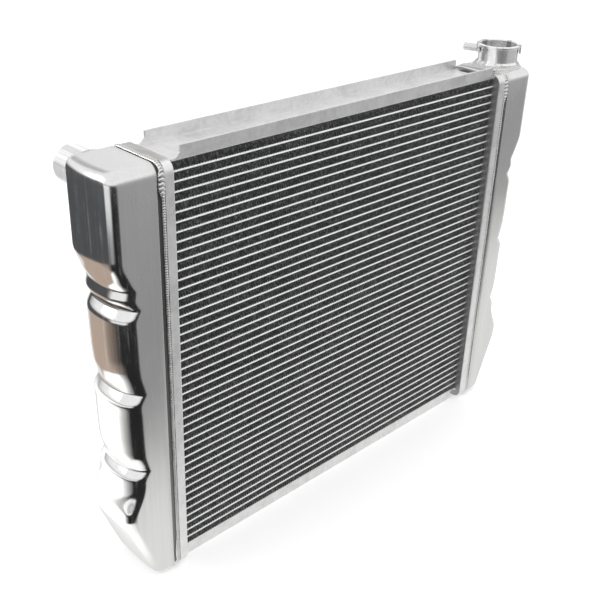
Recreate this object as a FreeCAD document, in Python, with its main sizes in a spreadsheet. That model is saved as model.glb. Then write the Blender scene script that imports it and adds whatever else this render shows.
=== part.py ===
import FreeCAD, Part
import math
import os
import Sketcher
from FreeCAD import Placement, Rotation, Vector

# Cross-flow car radiator, fabricated in aluminium: a finned tube core between two
# header pans, each closed by a tank, with a U channel above and below the core.
# Frame: X across the radiator (coolant flow), -Y the front, which meets the air,
# +Y the rear (engine side), +Z up.  The origin is the middle of the underside of
# the bottom channel's web.  Lengths are in millimetres, angles in degrees.
# The right side is +X; a left piece is drawn like a right one and given half a turn.

os.makedirs("parts", exist_ok=True)
doc = FreeCAD.newDocument("car_radiator")

# ---------------------------------------------------------------- dimensions
# (alias, value); a text starting with "=" is worked out from earlier aliases.
DIMS = [
    ("cut_overrun", 2.0),       # how far cutting shapes run past the material
    ("turned_edge", 0.5),       # edge break on turned parts
    ("seat_lift", 0.05),        # clearance under a part seated on a face
    ("weld_gap", 0.05),         # clearance between a ring weld and its collar
    ("weld_leg", 3.3),
    # core
    ("core_half_length", 245.0), ("core_depth", 56.0), ("tube_count", 44),
    ("tube_pitch", 10.0), ("tube_width", 25.4), ("tube_thick", 2.0),
    ("tube_wall", 0.4), ("tube_half_length", 250.0), ("tube_row_y", 15.3),
    ("tube_first_z", 11.0),
    ("fin_height", 7.9), ("fin_depth", 55.2), ("fin_step", 6.0),
    ("fin_skin", 0.5), ("fin_half_length", 243.0),
    ("fin_first_z", "=tube_first_z - tube_pitch / 2"),
    # header pans
    ("header_half_depth", 38.1), ("header_bottom", -12.0), ("header_top", 456.5),
    ("header_plate", 2.0), ("header_flange", 11.0), ("header_corner", 12.0),
    ("slot_gap", 0.05), ("header_rim", 1.8),
    # tanks; corners up to small_corner keep their radius on the inside
    ("tank_wall", 2.0), ("skirt_gap", 0.1), ("skirt_start", 250.0),
    ("tank_start", 263.5), ("small_corner", 6.0),
    # seam beads
    ("bead_start", 256.2), ("bead_width", 5.0), ("bead_low", 0.2),
    # channels
    ("web_thick", 2.0), ("channel_half_width", "=core_depth / 2"),
    ("top_web_z", 450.0), ("channel_flange", 14.5), ("bottom_flange", 12.0),
    ("web_half_length", 244.7), ("flange_cut_x", 231.0), ("flange_slant", 5.5),
    ("flange_slant_rise", 5.0), ("rear_flange_end", 238.5), ("relief_start", 239.0),
    ("relief_y_low", 6.0), ("relief_y_high", 21.0), ("bottom_flange_end", 235.0),
    ("bend_outer", 2.6), ("bend_inner", 0.9),
    # channel end welds
    ("tack_leg", 2.6), ("tack_margin", 2.0), ("tack_gap", 0.05), ("tack_inset", 0.2),
    ("step_length", 3.2), ("step_depth", 1.0),
    # filler neck (local frame: axis Z, zero on the tank's top)
    ("filler_x", 289.0), ("filler_spigot", 17.9), ("filler_spigot_depth", 6.0),
    ("filler_throat", 16.0), ("filler_seat", 9.0), ("filler_bore", 22.3),
    ("filler_body", 24.5), ("filler_collar", 27.2), ("filler_collar_top", 4.5),
    ("filler_taper", 2.0), ("filler_rim", 27.7), ("filler_rim_low", 23.5),
    ("filler_rim_top", 26.5), ("filler_lead", 0.7),
    ("cam_inner", 25.9), ("cam_outer", 27.6), ("cam_low", 16.0), ("cam_overlap", 1.0),
    ("cam_one_angle", -48.0), ("cam_two_angle", 138.0), ("cam_half_angle", 14.0),
    # overflow nipple
    ("nipple_outer", 4.75), ("nipple_inner", 3.2), ("nipple_z", 17.5),
    ("nipple_start", 22.7), ("nipple_end", 45.0), ("nipple_angle", 108.0),
    ("nipple_gap", 0.05), ("nipple_root", 4.3), ("nipple_step", 26.0),
    ("nipple_edge", 0.6),
    # hose necks (local frame: axis Z, zero on the tank's rear face)
    ("inlet_x", 284.0), ("inlet_z", 432.0), ("inlet_outer", 19.05),
    ("inlet_inner", 17.4), ("inlet_collar", 20.3),
    ("outlet_x", 286.0), ("outlet_z", 79.0), ("outlet_outer", 22.225),
    ("outlet_inner", 20.55), ("outlet_collar", 23.5),
    ("neck_collar_top", 4.0), ("neck_end", 35.0), ("neck_spigot_depth", 4.0),
    ("neck_spigot_step", 0.45), ("neck_hole_gap", 0.1), ("neck_lead", 0.8),
    # drain boss and drain cock (local frame: axis Z, zero on the tank's rear face)
    ("drain_x", 277.0), ("drain_z", 32.0), ("bung_spigot", 9.9),
    ("bung_outer", 12.0), ("bung_top", 8.0), ("bung_bore", 6.55), ("bung_edge", 1.0),
    ("bung_weld_leg", 2.4),
    ("cock_shank", 6.5), ("cock_hex_low", "=bung_top + seat_lift"),
    ("cock_hex_top", 14.0), ("cock_hex_flats", 17.0), ("cock_barrel", 7.0),
    ("cock_top", 27.0), ("cock_bore", 4.05), ("cock_port", 2.0),
    ("cock_seat_z", 3.0), ("cock_shank_low", -2.0),
    ("spout_outer", 3.2), ("spout_inner", 2.0), ("spout_z", 18.0),
    ("spout_end", 19.0), ("spout_inset", 0.5),
    ("stem_nose", 1.5), ("stem_tip", 3.9), ("stem_waist", 2.8), ("stem_piston", 4.0),
    ("stem_taper", 1.0), ("stem_head_top", 8.0), ("stem_piston_low", 20.2),
    ("stem_groove_low", 21.2), ("stem_groove_top", 22.6), ("stem_groove", 2.9),
    ("stem_top", 30.0), ("stem_seat_gap", 0.06),
    ("wing_top", 44.0), ("wing_half_width", 13.0), ("wing_thick", 3.2),
    ("wing_low", 28.5), ("wing_root", 6.0),
    ("seal_major", 3.48), ("seal_minor", 0.54),
]

# Tank outline, one row per horizontal section from the bottom up: height,
# distance of the side face from the middle plane, how far the section is drawn
# in at front and rear, corner radius.  Three grooves cross the side face.
LEVEL_WORDS = ("z", "x", "draw", "corner")
LEVELS = [
    ("=header_bottom", 278.0, 8.0, 5.0),
    (-9.2, 285.0, 2.4, 9.6), (-2.0, 290.3, 0.0, 12.0),
    (67.0, 316.6, 0.0, 12.0), (79.0, 319.0, 0.0, 12.0),
    (89.0, 317.8, 0.0, 12.0), (104.5, 314.6, 0.0, 14.0),
    (116.0, 311.4, 0.0, 18.0), (122.0, 310.8, 0.0, 20.0),
    (132.0, 303.8, 0.0, 16.0), (150.0, 308.8, 0.0, 20.0),
    (206.0, 310.0, 0.0, 20.0), (215.5, 310.8, 0.0, 20.0),
    (225.5, 303.8, 0.0, 16.0), (246.0, 308.8, 0.0, 20.0),
    (300.0, 310.0, 0.0, 20.0), (309.5, 310.8, 0.0, 20.0),
    (319.0, 303.8, 0.0, 16.0), (337.0, 308.4, 0.0, 18.0),
    (365.0, 316.8, 0.0, 13.0), (446.0, 317.0, 0.0, 12.0),
    (453.7, 313.9, 3.0, 9.0), ("=header_top", 308.0, 8.6, 5.0),
]


def level_alias(word, index):
    return "level_%s_%02d" % (word, index)


sheet = doc.addObject("Spreadsheet::Sheet", "dims")
entries = DIMS + [(level_alias(word, index), value)
                  for index, level in enumerate(LEVELS)
                  for word, value in zip(LEVEL_WORDS, level)]
for row, (alias, content) in enumerate(entries, 1):
    sheet.set("A%d" % row, alias)
    sheet.set("B%d" % row, str(content))
    sheet.setAlias("B%d" % row, alias)
doc.recompute()


class Length:
    """A length as the text of a sheet expression beside its present value."""

    def __init__(self, text, value):
        self.text = text
        self.value = value

    def __add__(self, other):
        other = as_length(other)
        return Length("(%s + %s)" % (self.text, other.text), self.value + other.value)

    def __radd__(self, other):
        return as_length(other) + self

    def __sub__(self, other):
        other = as_length(other)
        return Length("(%s - %s)" % (self.text, other.text), self.value - other.value)

    def __rsub__(self, other):
        return as_length(other) - self

    def __mul__(self, number):
        return Length("(%s * %.9g)" % (self.text, number), self.value * number)

    def __neg__(self):
        return Length("(0 - %s)" % self.text, -self.value)


def as_length(item):
    if isinstance(item, Length):
        return item
    return Length("%.9g" % item, float(item))


class Dims:
    """dims.alias is the sheet's value of that alias, as a Length."""

    def __getattr__(self, alias):
        return Length("dims." + alias, float(sheet.get(alias)))


dims = Dims()


def point(x, y, z=0):
    return Vector(*[as_length(item).value for item in (x, y, z)])


def bind(item, prop, length):
    """Set a property and tie it to the sheet."""
    length = as_length(length)
    setattr(item, prop, length.value)
    item.setExpression(prop, length.text)


# ------------------------------------------------------------ sketch helpers
def new_body(name, label):
    body = doc.addObject("PartDesign::Body", name)
    body.Label = label
    return body


def origin_feature(body, role):
    return next(item for item in body.Origin.OriginFeatures if item.Role == role)


def new_sketch(body, name, role, offset=None):
    """Sketch on an origin plane, moved by offset along the plane's normal."""
    sketch = body.newObject("Sketcher::SketchObject", name)
    sketch.AttachmentSupport = [(origin_feature(body, role), "")]
    sketch.MapMode = "FlatFace"
    if offset is not None:
        sketch.setExpression("AttachmentOffset.Base.z", as_length(offset).text)
        sketch.AttachmentOffset = Placement(point(0, 0, offset), Rotation())
    return sketch


def pin_value(sketch, kind, args, amount):
    amount = as_length(amount)
    index = sketch.addConstraint(Sketcher.Constraint(kind, *args, amount.value))
    sketch.setExpression("Constraints[%d]" % index, amount.text)


def pin_point(sketch, index, end, x, y):
    """Fix a curve's start (end 1) or centre (end 3)."""
    pin_value(sketch, "DistanceX", (index, end), x)
    pin_value(sketch, "DistanceY", (index, end), y)


def line(sketch, start_x, start_y, end_x, end_y):
    segment = Part.LineSegment(point(start_x, start_y), point(end_x, end_y))
    return sketch.addGeometry(segment, False)


def arc(sketch, x, y, radius, start, end):
    ring = Part.Circle(point(x, y), Vector(0, 0, 1), radius.value)
    return sketch.addGeometry(
        Part.ArcOfCircle(ring, math.radians(start), math.radians(end)), False)


def tangent(sketch, first, second):
    """Join the end of one curve smoothly to the start of the next."""
    sketch.addConstraint(Sketcher.Constraint("Tangent", first, 2, second, 1))


def coincident(sketch, first, second):
    sketch.addConstraint(Sketcher.Constraint("Coincident", first, 2, second, 1))


def polygon(sketch, points):
    first = sketch.GeometryCount
    count = len(points)
    for i, start in enumerate(points):
        line(sketch, *start, *points[(i + 1) % count])
    for i in range(count):
        coincident(sketch, first + i, first + (i + 1) % count)
    for i, (x, y) in enumerate(points):
        pin_point(sketch, first + i, 1, x, y)


def circle(sketch, x, y, radius):
    index = sketch.addGeometry(
        Part.Circle(point(x, y), Vector(0, 0, 1), radius.value), False)
    pin_point(sketch, index, 3, x, y)
    pin_value(sketch, "Radius", (index,), radius)


def tube_outline(sketch, y, radius):
    """Flat tube section at the lowest tube's height, with round ends."""
    z = dims.tube_first_z
    span = (dims.tube_width - dims.tube_thick) * 0.5
    front_y, rear_y = y - span, y + span
    front = arc(sketch, front_y, z, radius, 90, 270)
    rear = arc(sketch, rear_y, z, radius, 270, 450)
    low = line(sketch, front_y, z - radius, rear_y, z - radius)
    high = line(sketch, rear_y, z + radius, front_y, z + radius)
    tangent(sketch, front, low)
    tangent(sketch, low, rear)
    tangent(sketch, rear, high)
    tangent(sketch, high, front)
    pin_point(sketch, front, 3, front_y, z)
    pin_point(sketch, rear, 3, rear_y, z)
    pin_value(sketch, "Radius", (front,), radius)
    sketch.addConstraint(Sketcher.Constraint("Equal", front, rear))


def rounded_rectangle(sketch, half, low, high, radius, inset=0):
    """Rectangle from -half to half and low to high, drawn in by inset all round."""
    half, low, high, radius = half - inset, low + inset, high - inset, radius - inset
    side, bottom, top = half - radius, low + radius, high - radius
    centres = [(side, top), (-side, top), (-side, bottom), (side, bottom)]
    arcs = [arc(sketch, x, y, radius, 90 * i, 90 * i + 90)
            for i, (x, y) in enumerate(centres)]
    lines = [line(sketch, side, high, -side, high),
             line(sketch, -half, top, -half, bottom),
             line(sketch, -side, low, side, low),
             line(sketch, half, bottom, half, top)]
    for i in range(4):
        tangent(sketch, arcs[i], lines[i])
        tangent(sketch, lines[i], arcs[(i + 1) % 4])
    for index, (x, y) in zip(arcs, centres):
        pin_point(sketch, index, 3, x, y)
    pin_value(sketch, "Radius", (arcs[0],), radius)
    for index in arcs[1:]:
        sketch.addConstraint(Sketcher.Constraint("Equal", arcs[0], index))


def tank_section(sketch, start, end, half, radius):
    """Section of a tank: square at the header side, rounded at the outer side."""
    arc_x, arc_y = end - radius, half - radius
    front_arc = arc(sketch, arc_x, -arc_y, radius, 270, 360)
    rear_arc = arc(sketch, arc_x, arc_y, radius, 0, 90)
    front = line(sketch, start, -half, arc_x, -half)
    side = line(sketch, end, -arc_y, end, arc_y)
    rear = line(sketch, arc_x, half, start, half)
    inner = line(sketch, start, half, start, -half)
    tangent(sketch, front, front_arc)
    tangent(sketch, front_arc, side)
    tangent(sketch, side, rear_arc)
    tangent(sketch, rear_arc, rear)
    coincident(sketch, rear, inner)
    coincident(sketch, inner, front)
    pin_point(sketch, front_arc, 3, arc_x, -arc_y)
    pin_point(sketch, rear_arc, 3, arc_x, arc_y)
    pin_value(sketch, "Radius", (front_arc,), radius)
    sketch.addConstraint(Sketcher.Constraint("Equal", front_arc, rear_arc))
    pin_point(sketch, front, 1, start, -half)
    pin_point(sketch, inner, 1, start, half)


def polar(radius, degrees):
    angle = math.radians(degrees)
    return radius * math.cos(angle), radius * math.sin(angle)


# ----------------------------------------------------------- feature helpers
def extrude(body, kind, sketch, name, length, midplane):
    feature = body.newObject("PartDesign::" + kind, name)
    feature.Profile = sketch
    feature.Midplane = midplane
    bind(feature, "Length", length)
    return feature


def pad(body, sketch, name, length, midplane=False):
    return extrude(body, "Pad", sketch, name, length, midplane)


def pocket(body, sketch, name, length):
    """A cut made equally to both sides of its sketch."""
    return extrude(body, "Pocket", sketch, name, length, True)


def cut_outline(body, name, role, offset, points, length):
    sketch = new_sketch(body, name, role, offset)
    polygon(sketch, points)
    pocket(body, sketch, name + "_cut", length)


def repeat_tubes(body, feature, name):
    """Repeat a feature upwards, once for each tube of a row."""
    count, pitch = dims.tube_count, dims.tube_pitch
    pattern = body.newObject("PartDesign::LinearPattern", name)
    pattern.Originals = [feature]
    pattern.Direction = (origin_feature(body, "Z_Axis"), [""])
    pattern.Length = pitch.value * (count.value - 1)
    pattern.setExpression("Length", "%s * (%s - 1)" % (pitch.text, count.text))
    pattern.Occurrences = int(count.value)
    pattern.setExpression("Occurrences", count.text)
    body.Tip = pattern


def fillet(body, name, radius, expected, chosen):
    """Round the edges of the body whose bounding box is chosen."""
    base = body.Tip
    edges = ["Edge%d" % number for number, edge in enumerate(base.Shape.Edges, 1)
             if chosen(edge.BoundBox)]
    if len(edges) != expected:
        raise RuntimeError("%s found %d edges" % (name, len(edges)))
    feature = body.newObject("PartDesign::Fillet", name)
    feature.Base = (base, edges)
    bind(feature, "Radius", radius)
    body.Tip = feature
    doc.recompute()


def turned_part(name, label, points, seat=Placement()):
    """Body turned about the local Z axis, from points (radius, height)."""
    body = new_body(name, label)
    sketch = new_sketch(body, name + "_profile", "XZ_Plane")
    polygon(sketch, points)
    feature = body.newObject("PartDesign::Revolution", name + "_revolved")
    feature.Profile = sketch
    feature.ReferenceAxis = (sketch, ["V_Axis"])
    feature.Angle = 360.0
    body.Placement = seat
    doc.recompute()
    return body


def cylinder(name, radius, height, placement):
    item = doc.addObject("Part::Cylinder", name)
    bind(item, "Radius", radius)
    bind(item, "Height", height)
    item.Placement = placement
    return item


def boolean(kind, name, base, tool):
    item = doc.addObject("Part::" + kind, name)
    item.Base = base
    item.Tool = tool
    return item


# -------------------------------------------------------------------- places
def rear_seat(x, z):
    """Local Z along +Y, local Y along -Z, zero on a tank's rear face."""
    return Placement(point(x, dims.header_half_depth, z),
                     Rotation(Vector(1, 0, 0), Vector(0, 0, -1), Vector(0, 1, 0), "ZXY"))


RIGHT = Placement()
LEFT = Placement(Vector(0, 0, 0), Rotation(Vector(0, 0, 1), 180))
FILLER_SEAT = Placement(point(dims.filler_x, 0, dims.header_top), Rotation())
INLET_SEAT = rear_seat(-dims.inlet_x, dims.inlet_z)
OUTLET_SEAT = rear_seat(dims.outlet_x, dims.outlet_z)
DRAIN_SEAT = rear_seat(-dims.drain_x, dims.drain_z)
# the nipple points sideways out of the filler neck
NIPPLE_AXIS = point(*polar(as_length(1), dims.nipple_angle.value))
NIPPLE_TURN = Rotation(Vector(0, 0, 1), NIPPLE_AXIS)


# ---------------------------------------------------------------------- core
def tube_row(name, label, y):
    body = new_body(name, label)
    body.AllowCompound = True
    sketch = new_sketch(body, name + "_section", "YZ_Plane", -dims.tube_half_length)
    radius = dims.tube_thick * 0.5
    tube_outline(sketch, y, radius)
    tube_outline(sketch, y, radius - dims.tube_wall)
    feature = pad(body, sketch, name + "_pad", dims.tube_half_length * 2)
    doc.recompute()
    repeat_tubes(body, feature, name + "_stack")
    doc.recompute()
    return body


def fin_strip(z_mid):
    """Zigzag sheet folded across the core's length."""
    half = dims.fin_half_length.value
    skin = dims.fin_skin.value
    swing = dims.fin_height.value / 2.0 - skin / 2.0
    depth = dims.fin_depth.value
    folds = int(round(2 * half / dims.fin_step.value))
    upper, lower = [], []
    for i in range(folds + 1):
        x = -half + 2 * half * i / folds
        z = z_mid + (swing if i % 2 else -swing)
        upper.append(Vector(x, -depth / 2.0, z + skin / 2.0))
        lower.append(Vector(x, -depth / 2.0, z - skin / 2.0))
    ring = upper + lower[::-1]
    face = Part.Face(Part.makePolygon(ring + [ring[0]]))
    return face.extrude(Vector(0, depth, 0))


def fin_stack():
    """One strip below each tube and one above the last."""
    fins = doc.addObject("Part::Feature", "fins")
    fins.Label = "core_fins"
    first, pitch = dims.fin_first_z.value, dims.tube_pitch.value
    fins.Shape = Part.makeCompound(
        [fin_strip(first + pitch * i) for i in range(int(dims.tube_count.value) + 1)])
    return fins


# --------------------------------------------------------- headers and tanks
def header(name, label, placement):
    """Slotted pan whose flange points away from the core."""
    body = new_body(name, label)
    wall, face = dims.header_plate, dims.core_half_length
    outline = (dims.header_half_depth, dims.header_bottom, dims.header_top,
               dims.header_corner)
    plate = new_sketch(body, name + "_plate", "YZ_Plane", face)
    rounded_rectangle(plate, *outline)
    pad(body, plate, name + "_plate_pad", wall)
    ring = new_sketch(body, name + "_ring", "YZ_Plane", face + wall)
    rounded_rectangle(ring, *outline)
    rounded_rectangle(ring, *outline, inset=wall)
    pad(body, ring, name + "_ring_pad", dims.header_flange - wall)
    doc.recompute()
    # the rim of the face towards the core is rounded
    fillet(body, name + "_rim", dims.header_rim, 8,
           lambda box: box.XLength < 1e-4 and abs(box.XMin - face.value) < 1e-4)
    slots = new_sketch(body, name + "_slots", "YZ_Plane", face + wall * 0.5)
    for y in (-dims.tube_row_y, dims.tube_row_y):
        tube_outline(slots, y, dims.tube_thick * 0.5 + dims.slot_gap)
    cut = pocket(body, slots, name + "_slot", wall * 2)
    doc.recompute()
    repeat_tubes(body, cut, name + "_slot_stack")
    body.Placement = placement
    doc.recompute()
    return body


def tank_loft(body, kind, name, inset):
    """Loft through all levels, drawn in by inset on every side."""
    sketches = []
    for index in range(len(LEVELS)):
        z, x, draw, corner = [getattr(dims, level_alias(word, index))
                              for word in LEVEL_WORDS]
        # the two lowest and two highest sections also move in height
        if index < 2:
            z = z + inset
        elif index >= len(LEVELS) - 2:
            z = z - inset
        if inset.value > 0 and corner.value > dims.small_corner.value:
            corner = corner - inset
        sketch = new_sketch(body, "%s_%02d" % (name, index), "XY_Plane", z)
        tank_section(sketch, dims.tank_start + inset, x - inset,
                     dims.header_half_depth - inset - draw, corner)
        sketches.append(sketch)
    loft = body.newObject("PartDesign::" + kind, name)
    loft.Profile = sketches[0]
    loft.Sections = sketches[1:]
    loft.Ruled = True
    doc.recompute()


def tank_shell(name, label):
    """Hollow tank with an open mouth and a skirt that enters the header pan."""
    body = new_body(name, label)
    wall = dims.tank_wall
    tank_loft(body, "AdditiveLoft", name + "_outer", as_length(0))
    full = body.Shape.Volume
    tank_loft(body, "SubtractiveLoft", name + "_inner", wall)
    if body.Shape.Volume > 0.4 * full:
        raise RuntimeError(name + ": the tank was not hollowed")

    inset = wall + dims.skirt_gap
    outline = (dims.header_half_depth - inset, dims.header_bottom + inset,
               dims.header_top - inset, dims.header_corner - inset)
    mouth = new_sketch(body, name + "_mouth", "YZ_Plane", dims.tank_start + wall * 0.5)
    rounded_rectangle(mouth, *outline, inset=wall)
    pocket(body, mouth, name + "_mouth_cut", wall * 2)
    doc.recompute()
    skirt = new_sketch(body, name + "_skirt", "YZ_Plane", dims.skirt_start)
    rounded_rectangle(skirt, *outline)
    rounded_rectangle(skirt, *outline, inset=wall)
    pad(body, skirt, name + "_skirt_pad", dims.tank_start + wall - dims.skirt_start)
    doc.recompute()
    return body


def tank_hole(body, name, role, offset, x, y, spigot):
    """Round hole through one wall, a clearance larger than its spigot."""
    before = body.Shape.Volume
    sketch = new_sketch(body, name, role, offset)
    circle(sketch, x, y, spigot + dims.neck_hole_gap)
    pocket(body, sketch, name + "_cut", dims.tank_wall * 3)
    doc.recompute()
    if body.Shape.Volume >= before - 1:
        raise RuntimeError(name + " cut nothing")


def right_tank():
    body = tank_shell("shell_right", "tank_right")
    # the XZ plane's normal is -Y, so a negative offset is towards the rear
    rear_wall = dims.tank_wall * 0.5 - dims.header_half_depth
    tank_hole(body, "shell_right_outlet", "XZ_Plane", rear_wall, dims.outlet_x,
              dims.outlet_z, dims.outlet_outer - dims.neck_spigot_step)
    tank_hole(body, "shell_right_top_hole", "XY_Plane",
              dims.header_top - dims.tank_wall * 0.5, dims.filler_x, 0,
              dims.filler_spigot)
    return body


def left_tank():
    body = tank_shell("shell_left", "tank_left")
    # before its half turn the tank's rear wall is on the -Y side
    rear_wall = dims.header_half_depth - dims.tank_wall * 0.5
    tank_hole(body, "shell_left_inlet", "XZ_Plane", rear_wall, dims.inlet_x,
              dims.inlet_z, dims.inlet_outer - dims.neck_spigot_step)
    tank_hole(body, "shell_left_drain", "XZ_Plane", rear_wall, dims.drain_x,
              dims.drain_z, dims.bung_spigot)
    body.Placement = LEFT
    doc.recompute()
    return body


def seam(name, label, placement):
    """Weld bead all round, between a header's flange and its tank."""
    body = new_body(name, label)
    outline = (dims.header_half_depth, dims.header_bottom, dims.header_top,
               dims.header_corner)
    sketch = new_sketch(body, name + "_section", "YZ_Plane", dims.bead_start)
    rounded_rectangle(sketch, *outline, inset=dims.bead_low)
    rounded_rectangle(sketch, *outline, inset=dims.header_plate)
    pad(body, sketch, name + "_pad", dims.bead_width)
    body.Placement = placement
    doc.recompute()
    return body


# ------------------------------------------------------------------ channels
def channel(name, label, web_low, flange_end):
    """U section on the YZ plane; flange_end is the flanges' free edge."""
    body = new_body(name, label)
    half, thick = dims.channel_half_width, dims.web_thick
    inner = half - thick
    if flange_end.value > web_low.value:
        inner_face, outer_face = web_low + thick, web_low
    else:
        inner_face, outer_face = web_low, web_low + thick
    sketch = new_sketch(body, name + "_section", "YZ_Plane", -dims.web_half_length)
    polygon(sketch, [(-half, flange_end), (-half, outer_face), (half, outer_face),
                     (half, flange_end), (inner, flange_end), (inner, inner_face),
                     (-inner, inner_face), (-inner, flange_end)])
    pad(body, sketch, name + "_pad", dims.web_half_length * 2)
    doc.recompute()
    for tag, face, reach, radius in (
            ("_outer_bend", outer_face, half, dims.bend_outer),
            ("_inner_bend", inner_face, inner, dims.bend_inner)):
        fillet(body, name + tag, radius, 2,
               lambda box: (box.XLength > 50 and abs(box.ZMin - face.value) < 1e-4
                            and abs(abs(box.YMin) - reach.value) < 1e-4))
    return body


def top_rail():
    half, thick, web_z = dims.channel_half_width, dims.web_thick, dims.top_web_z
    flange, overrun = dims.channel_flange, dims.cut_overrun
    body = channel("rail_top", "top_channel", web_z, web_z + flange)
    past_end = dims.web_half_length + overrun
    past_top = web_z + flange + overrun
    flange_root = web_z + thick + dims.bend_inner
    # left end: both flanges are cut back, square above and slanted below
    cut_x = dims.flange_cut_x
    cut_outline(body, "rail_top_left_end", "XZ_Plane", None,
                [(-past_end, flange_root), (-(cut_x + dims.flange_slant), flange_root),
                 (-cut_x, flange_root + dims.flange_slant_rise), (-cut_x, past_top),
                 (-past_end, past_top)], half * 3)
    # right end: the rear flange stops short and the web has a relief notch
    rear_end = dims.rear_flange_end
    cut_outline(body, "rail_top_rear_end", "XZ_Plane", -(half - thick * 0.5),
                [(rear_end, flange_root), (past_end, flange_root),
                 (past_end, past_top), (rear_end, past_top)], thick * 2)
    start, low, high = dims.relief_start, dims.relief_y_low, dims.relief_y_high
    cut_outline(body, "rail_top_relief", "XY_Plane", web_z + thick * 0.5,
                [(start, low), (past_end, low), (past_end, high), (start, high)],
                thick * 2)
    # the front face steps in at both ends, so that the corner welds stay off it
    step_x = dims.web_half_length - dims.step_length
    step_y = dims.step_depth - half
    past_front = -(half + overrun)
    for sign, side in ((1, "right"), (-1, "left")):
        cut_outline(body, "rail_top_step_" + side, "XY_Plane", web_z + flange * 0.5,
                    [(step_x * sign, step_y), (past_end * sign, step_y),
                     (past_end * sign, past_front), (step_x * sign, past_front)],
                    flange * 3)
    doc.recompute()
    return body


def bottom_rail():
    body = channel("rail_bottom", "bottom_channel", as_length(0), -dims.bottom_flange)
    # right end: both flanges stop short
    start, past_end = dims.bottom_flange_end, dims.web_half_length + dims.cut_overrun
    root, past_tip = -dims.bend_inner, -dims.bottom_flange - dims.cut_overrun
    cut_outline(body, "rail_bottom_right_end", "XZ_Plane", None,
                [(start, root), (past_end, root), (past_end, past_tip),
                 (start, past_tip)], dims.channel_half_width * 3)
    doc.recompute()
    return body


def tack(name, x_side, y_side, low, high, side_y):
    """Triangular fillet weld in the corner of a channel's side and a header."""
    body = new_body(name, name)
    corner_x = dims.core_half_length - dims.tack_gap
    near_y = side_y + dims.tack_gap
    sketch = new_sketch(body, name + "_section", "XY_Plane", low)
    polygon(sketch, [(corner_x * x_side, near_y * y_side),
                     ((corner_x - dims.tack_leg) * x_side, near_y * y_side),
                     (corner_x * x_side, (near_y + dims.tack_leg) * y_side)])
    pad(body, sketch, name + "_pad", high - low)
    doc.recompute()
    return body


def channel_end_welds():
    half, web_z, margin = dims.channel_half_width, dims.top_web_z, dims.tack_margin
    inset = dims.tack_inset
    # a weld runs along the flange where it is whole, else along the web only
    bottom_low = {"left": margin - dims.bottom_flange,
                  "right": inset - dims.bend_inner}
    web_high = web_z + dims.web_thick + dims.bend_inner - margin * 0.25
    flange_high = web_z + dims.channel_flange - margin
    tacks = []
    for x_side, side in ((1, "right"), (-1, "left")):
        for y_side, face in ((-1, "front"), (1, "rear")):
            place = "%s_%s" % (side, face)
            tacks.append(tack("tack_bottom_" + place, x_side, y_side,
                              bottom_low[side], dims.web_thick - inset, half))
            tacks.append(tack("tack_top_" + place, x_side, y_side, web_z + inset,
                              flange_high if place == "right_front" else web_high,
                              half - dims.step_depth if face == "front" else half))
    group = doc.addObject("Part::Compound", "tack_group")
    group.Label = "channel_welds"
    group.Links = tacks
    doc.recompute()
    return group


# --------------------------------------------------------------- filler neck
def filler():
    edge, throat, body_radius = dims.turned_edge, dims.filler_throat, dims.filler_body
    spigot, collar, bore = dims.filler_spigot, dims.filler_collar, dims.filler_bore
    collar_top, seat = dims.filler_collar_top, dims.filler_seat
    rim, rim_low, rim_top = dims.filler_rim, dims.filler_rim_low, dims.filler_rim_top
    neck = turned_part("filler_turned", "filler_turned", [
        (throat, -dims.filler_spigot_depth), (spigot, -dims.filler_spigot_depth),
        (spigot, dims.seat_lift), (collar, dims.seat_lift),
        (collar, collar_top - edge), (collar - edge, collar_top),
        (body_radius, collar_top + dims.filler_taper), (body_radius, rim_low),
        (rim - edge, rim_low), (rim, rim_low + edge),
        (rim, rim_top - edge), (rim - edge, rim_top),
        (bore + dims.filler_lead, rim_top), (bore, rim_top - dims.filler_lead),
        (bore, seat), (throat, seat)])
    # two curved cams hang from the rim
    half_angle = dims.cam_half_angle.value
    for word, middle in (("one", dims.cam_one_angle), ("two", dims.cam_two_angle)):
        angles = [middle.value + turn for turn in (-half_angle, 0.0, half_angle)]
        sketch = new_sketch(neck, "cam_" + word, "XY_Plane", dims.cam_low)
        polygon(sketch, [polar(dims.cam_outer, angle) for angle in angles]
                + [polar(dims.cam_inner, angle) for angle in reversed(angles)])
        pad(neck, sketch, "cam_%s_pad" % word, rim_low - dims.cam_low + dims.cam_overlap)
    doc.recompute()
    # side hole for the overflow nipple
    start = throat - dims.cut_overrun
    drill = cylinder("filler_side_drill", dims.nipple_root + dims.nipple_gap,
                     body_radius + dims.cut_overrun * 2 - start,
                     Placement(NIPPLE_AXIS * start.value + point(0, 0, dims.nipple_z),
                               NIPPLE_TURN))
    drilled = boolean("Cut", "filler_cut", neck, drill)
    drilled.Label = "filler_neck"
    drilled.Placement = FILLER_SEAT
    doc.recompute()
    return drilled


def overflow_nipple():
    inner, outer, root = dims.nipple_inner, dims.nipple_outer, dims.nipple_root
    start, step, end = dims.nipple_start, dims.nipple_step, dims.nipple_end
    edge = dims.nipple_edge
    return turned_part(
        "nipple", "overflow_nipple",
        [(inner, start), (root, start), (root, step), (outer, step),
         (outer, end - edge), (outer - edge, end), (inner, end)],
        Placement(point(dims.filler_x, 0, dims.header_top + dims.nipple_z), NIPPLE_TURN))


# ------------------------------------------------- hose necks and ring welds
def hose_neck(name, label, outer, inner, collar, seat):
    spigot = outer - dims.neck_spigot_step
    depth, collar_top, end = dims.neck_spigot_depth, dims.neck_collar_top, dims.neck_end
    edge, lead = dims.turned_edge, dims.neck_lead
    return turned_part(name, label, [
        (inner, -depth), (spigot, -depth),
        (spigot, dims.seat_lift), (collar, dims.seat_lift),
        (collar, collar_top - edge), (collar - edge, collar_top),
        (outer, collar_top), (outer, end - edge), (outer - edge, end),
        (inner + lead, end), (inner, end - lead)], seat)


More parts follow.
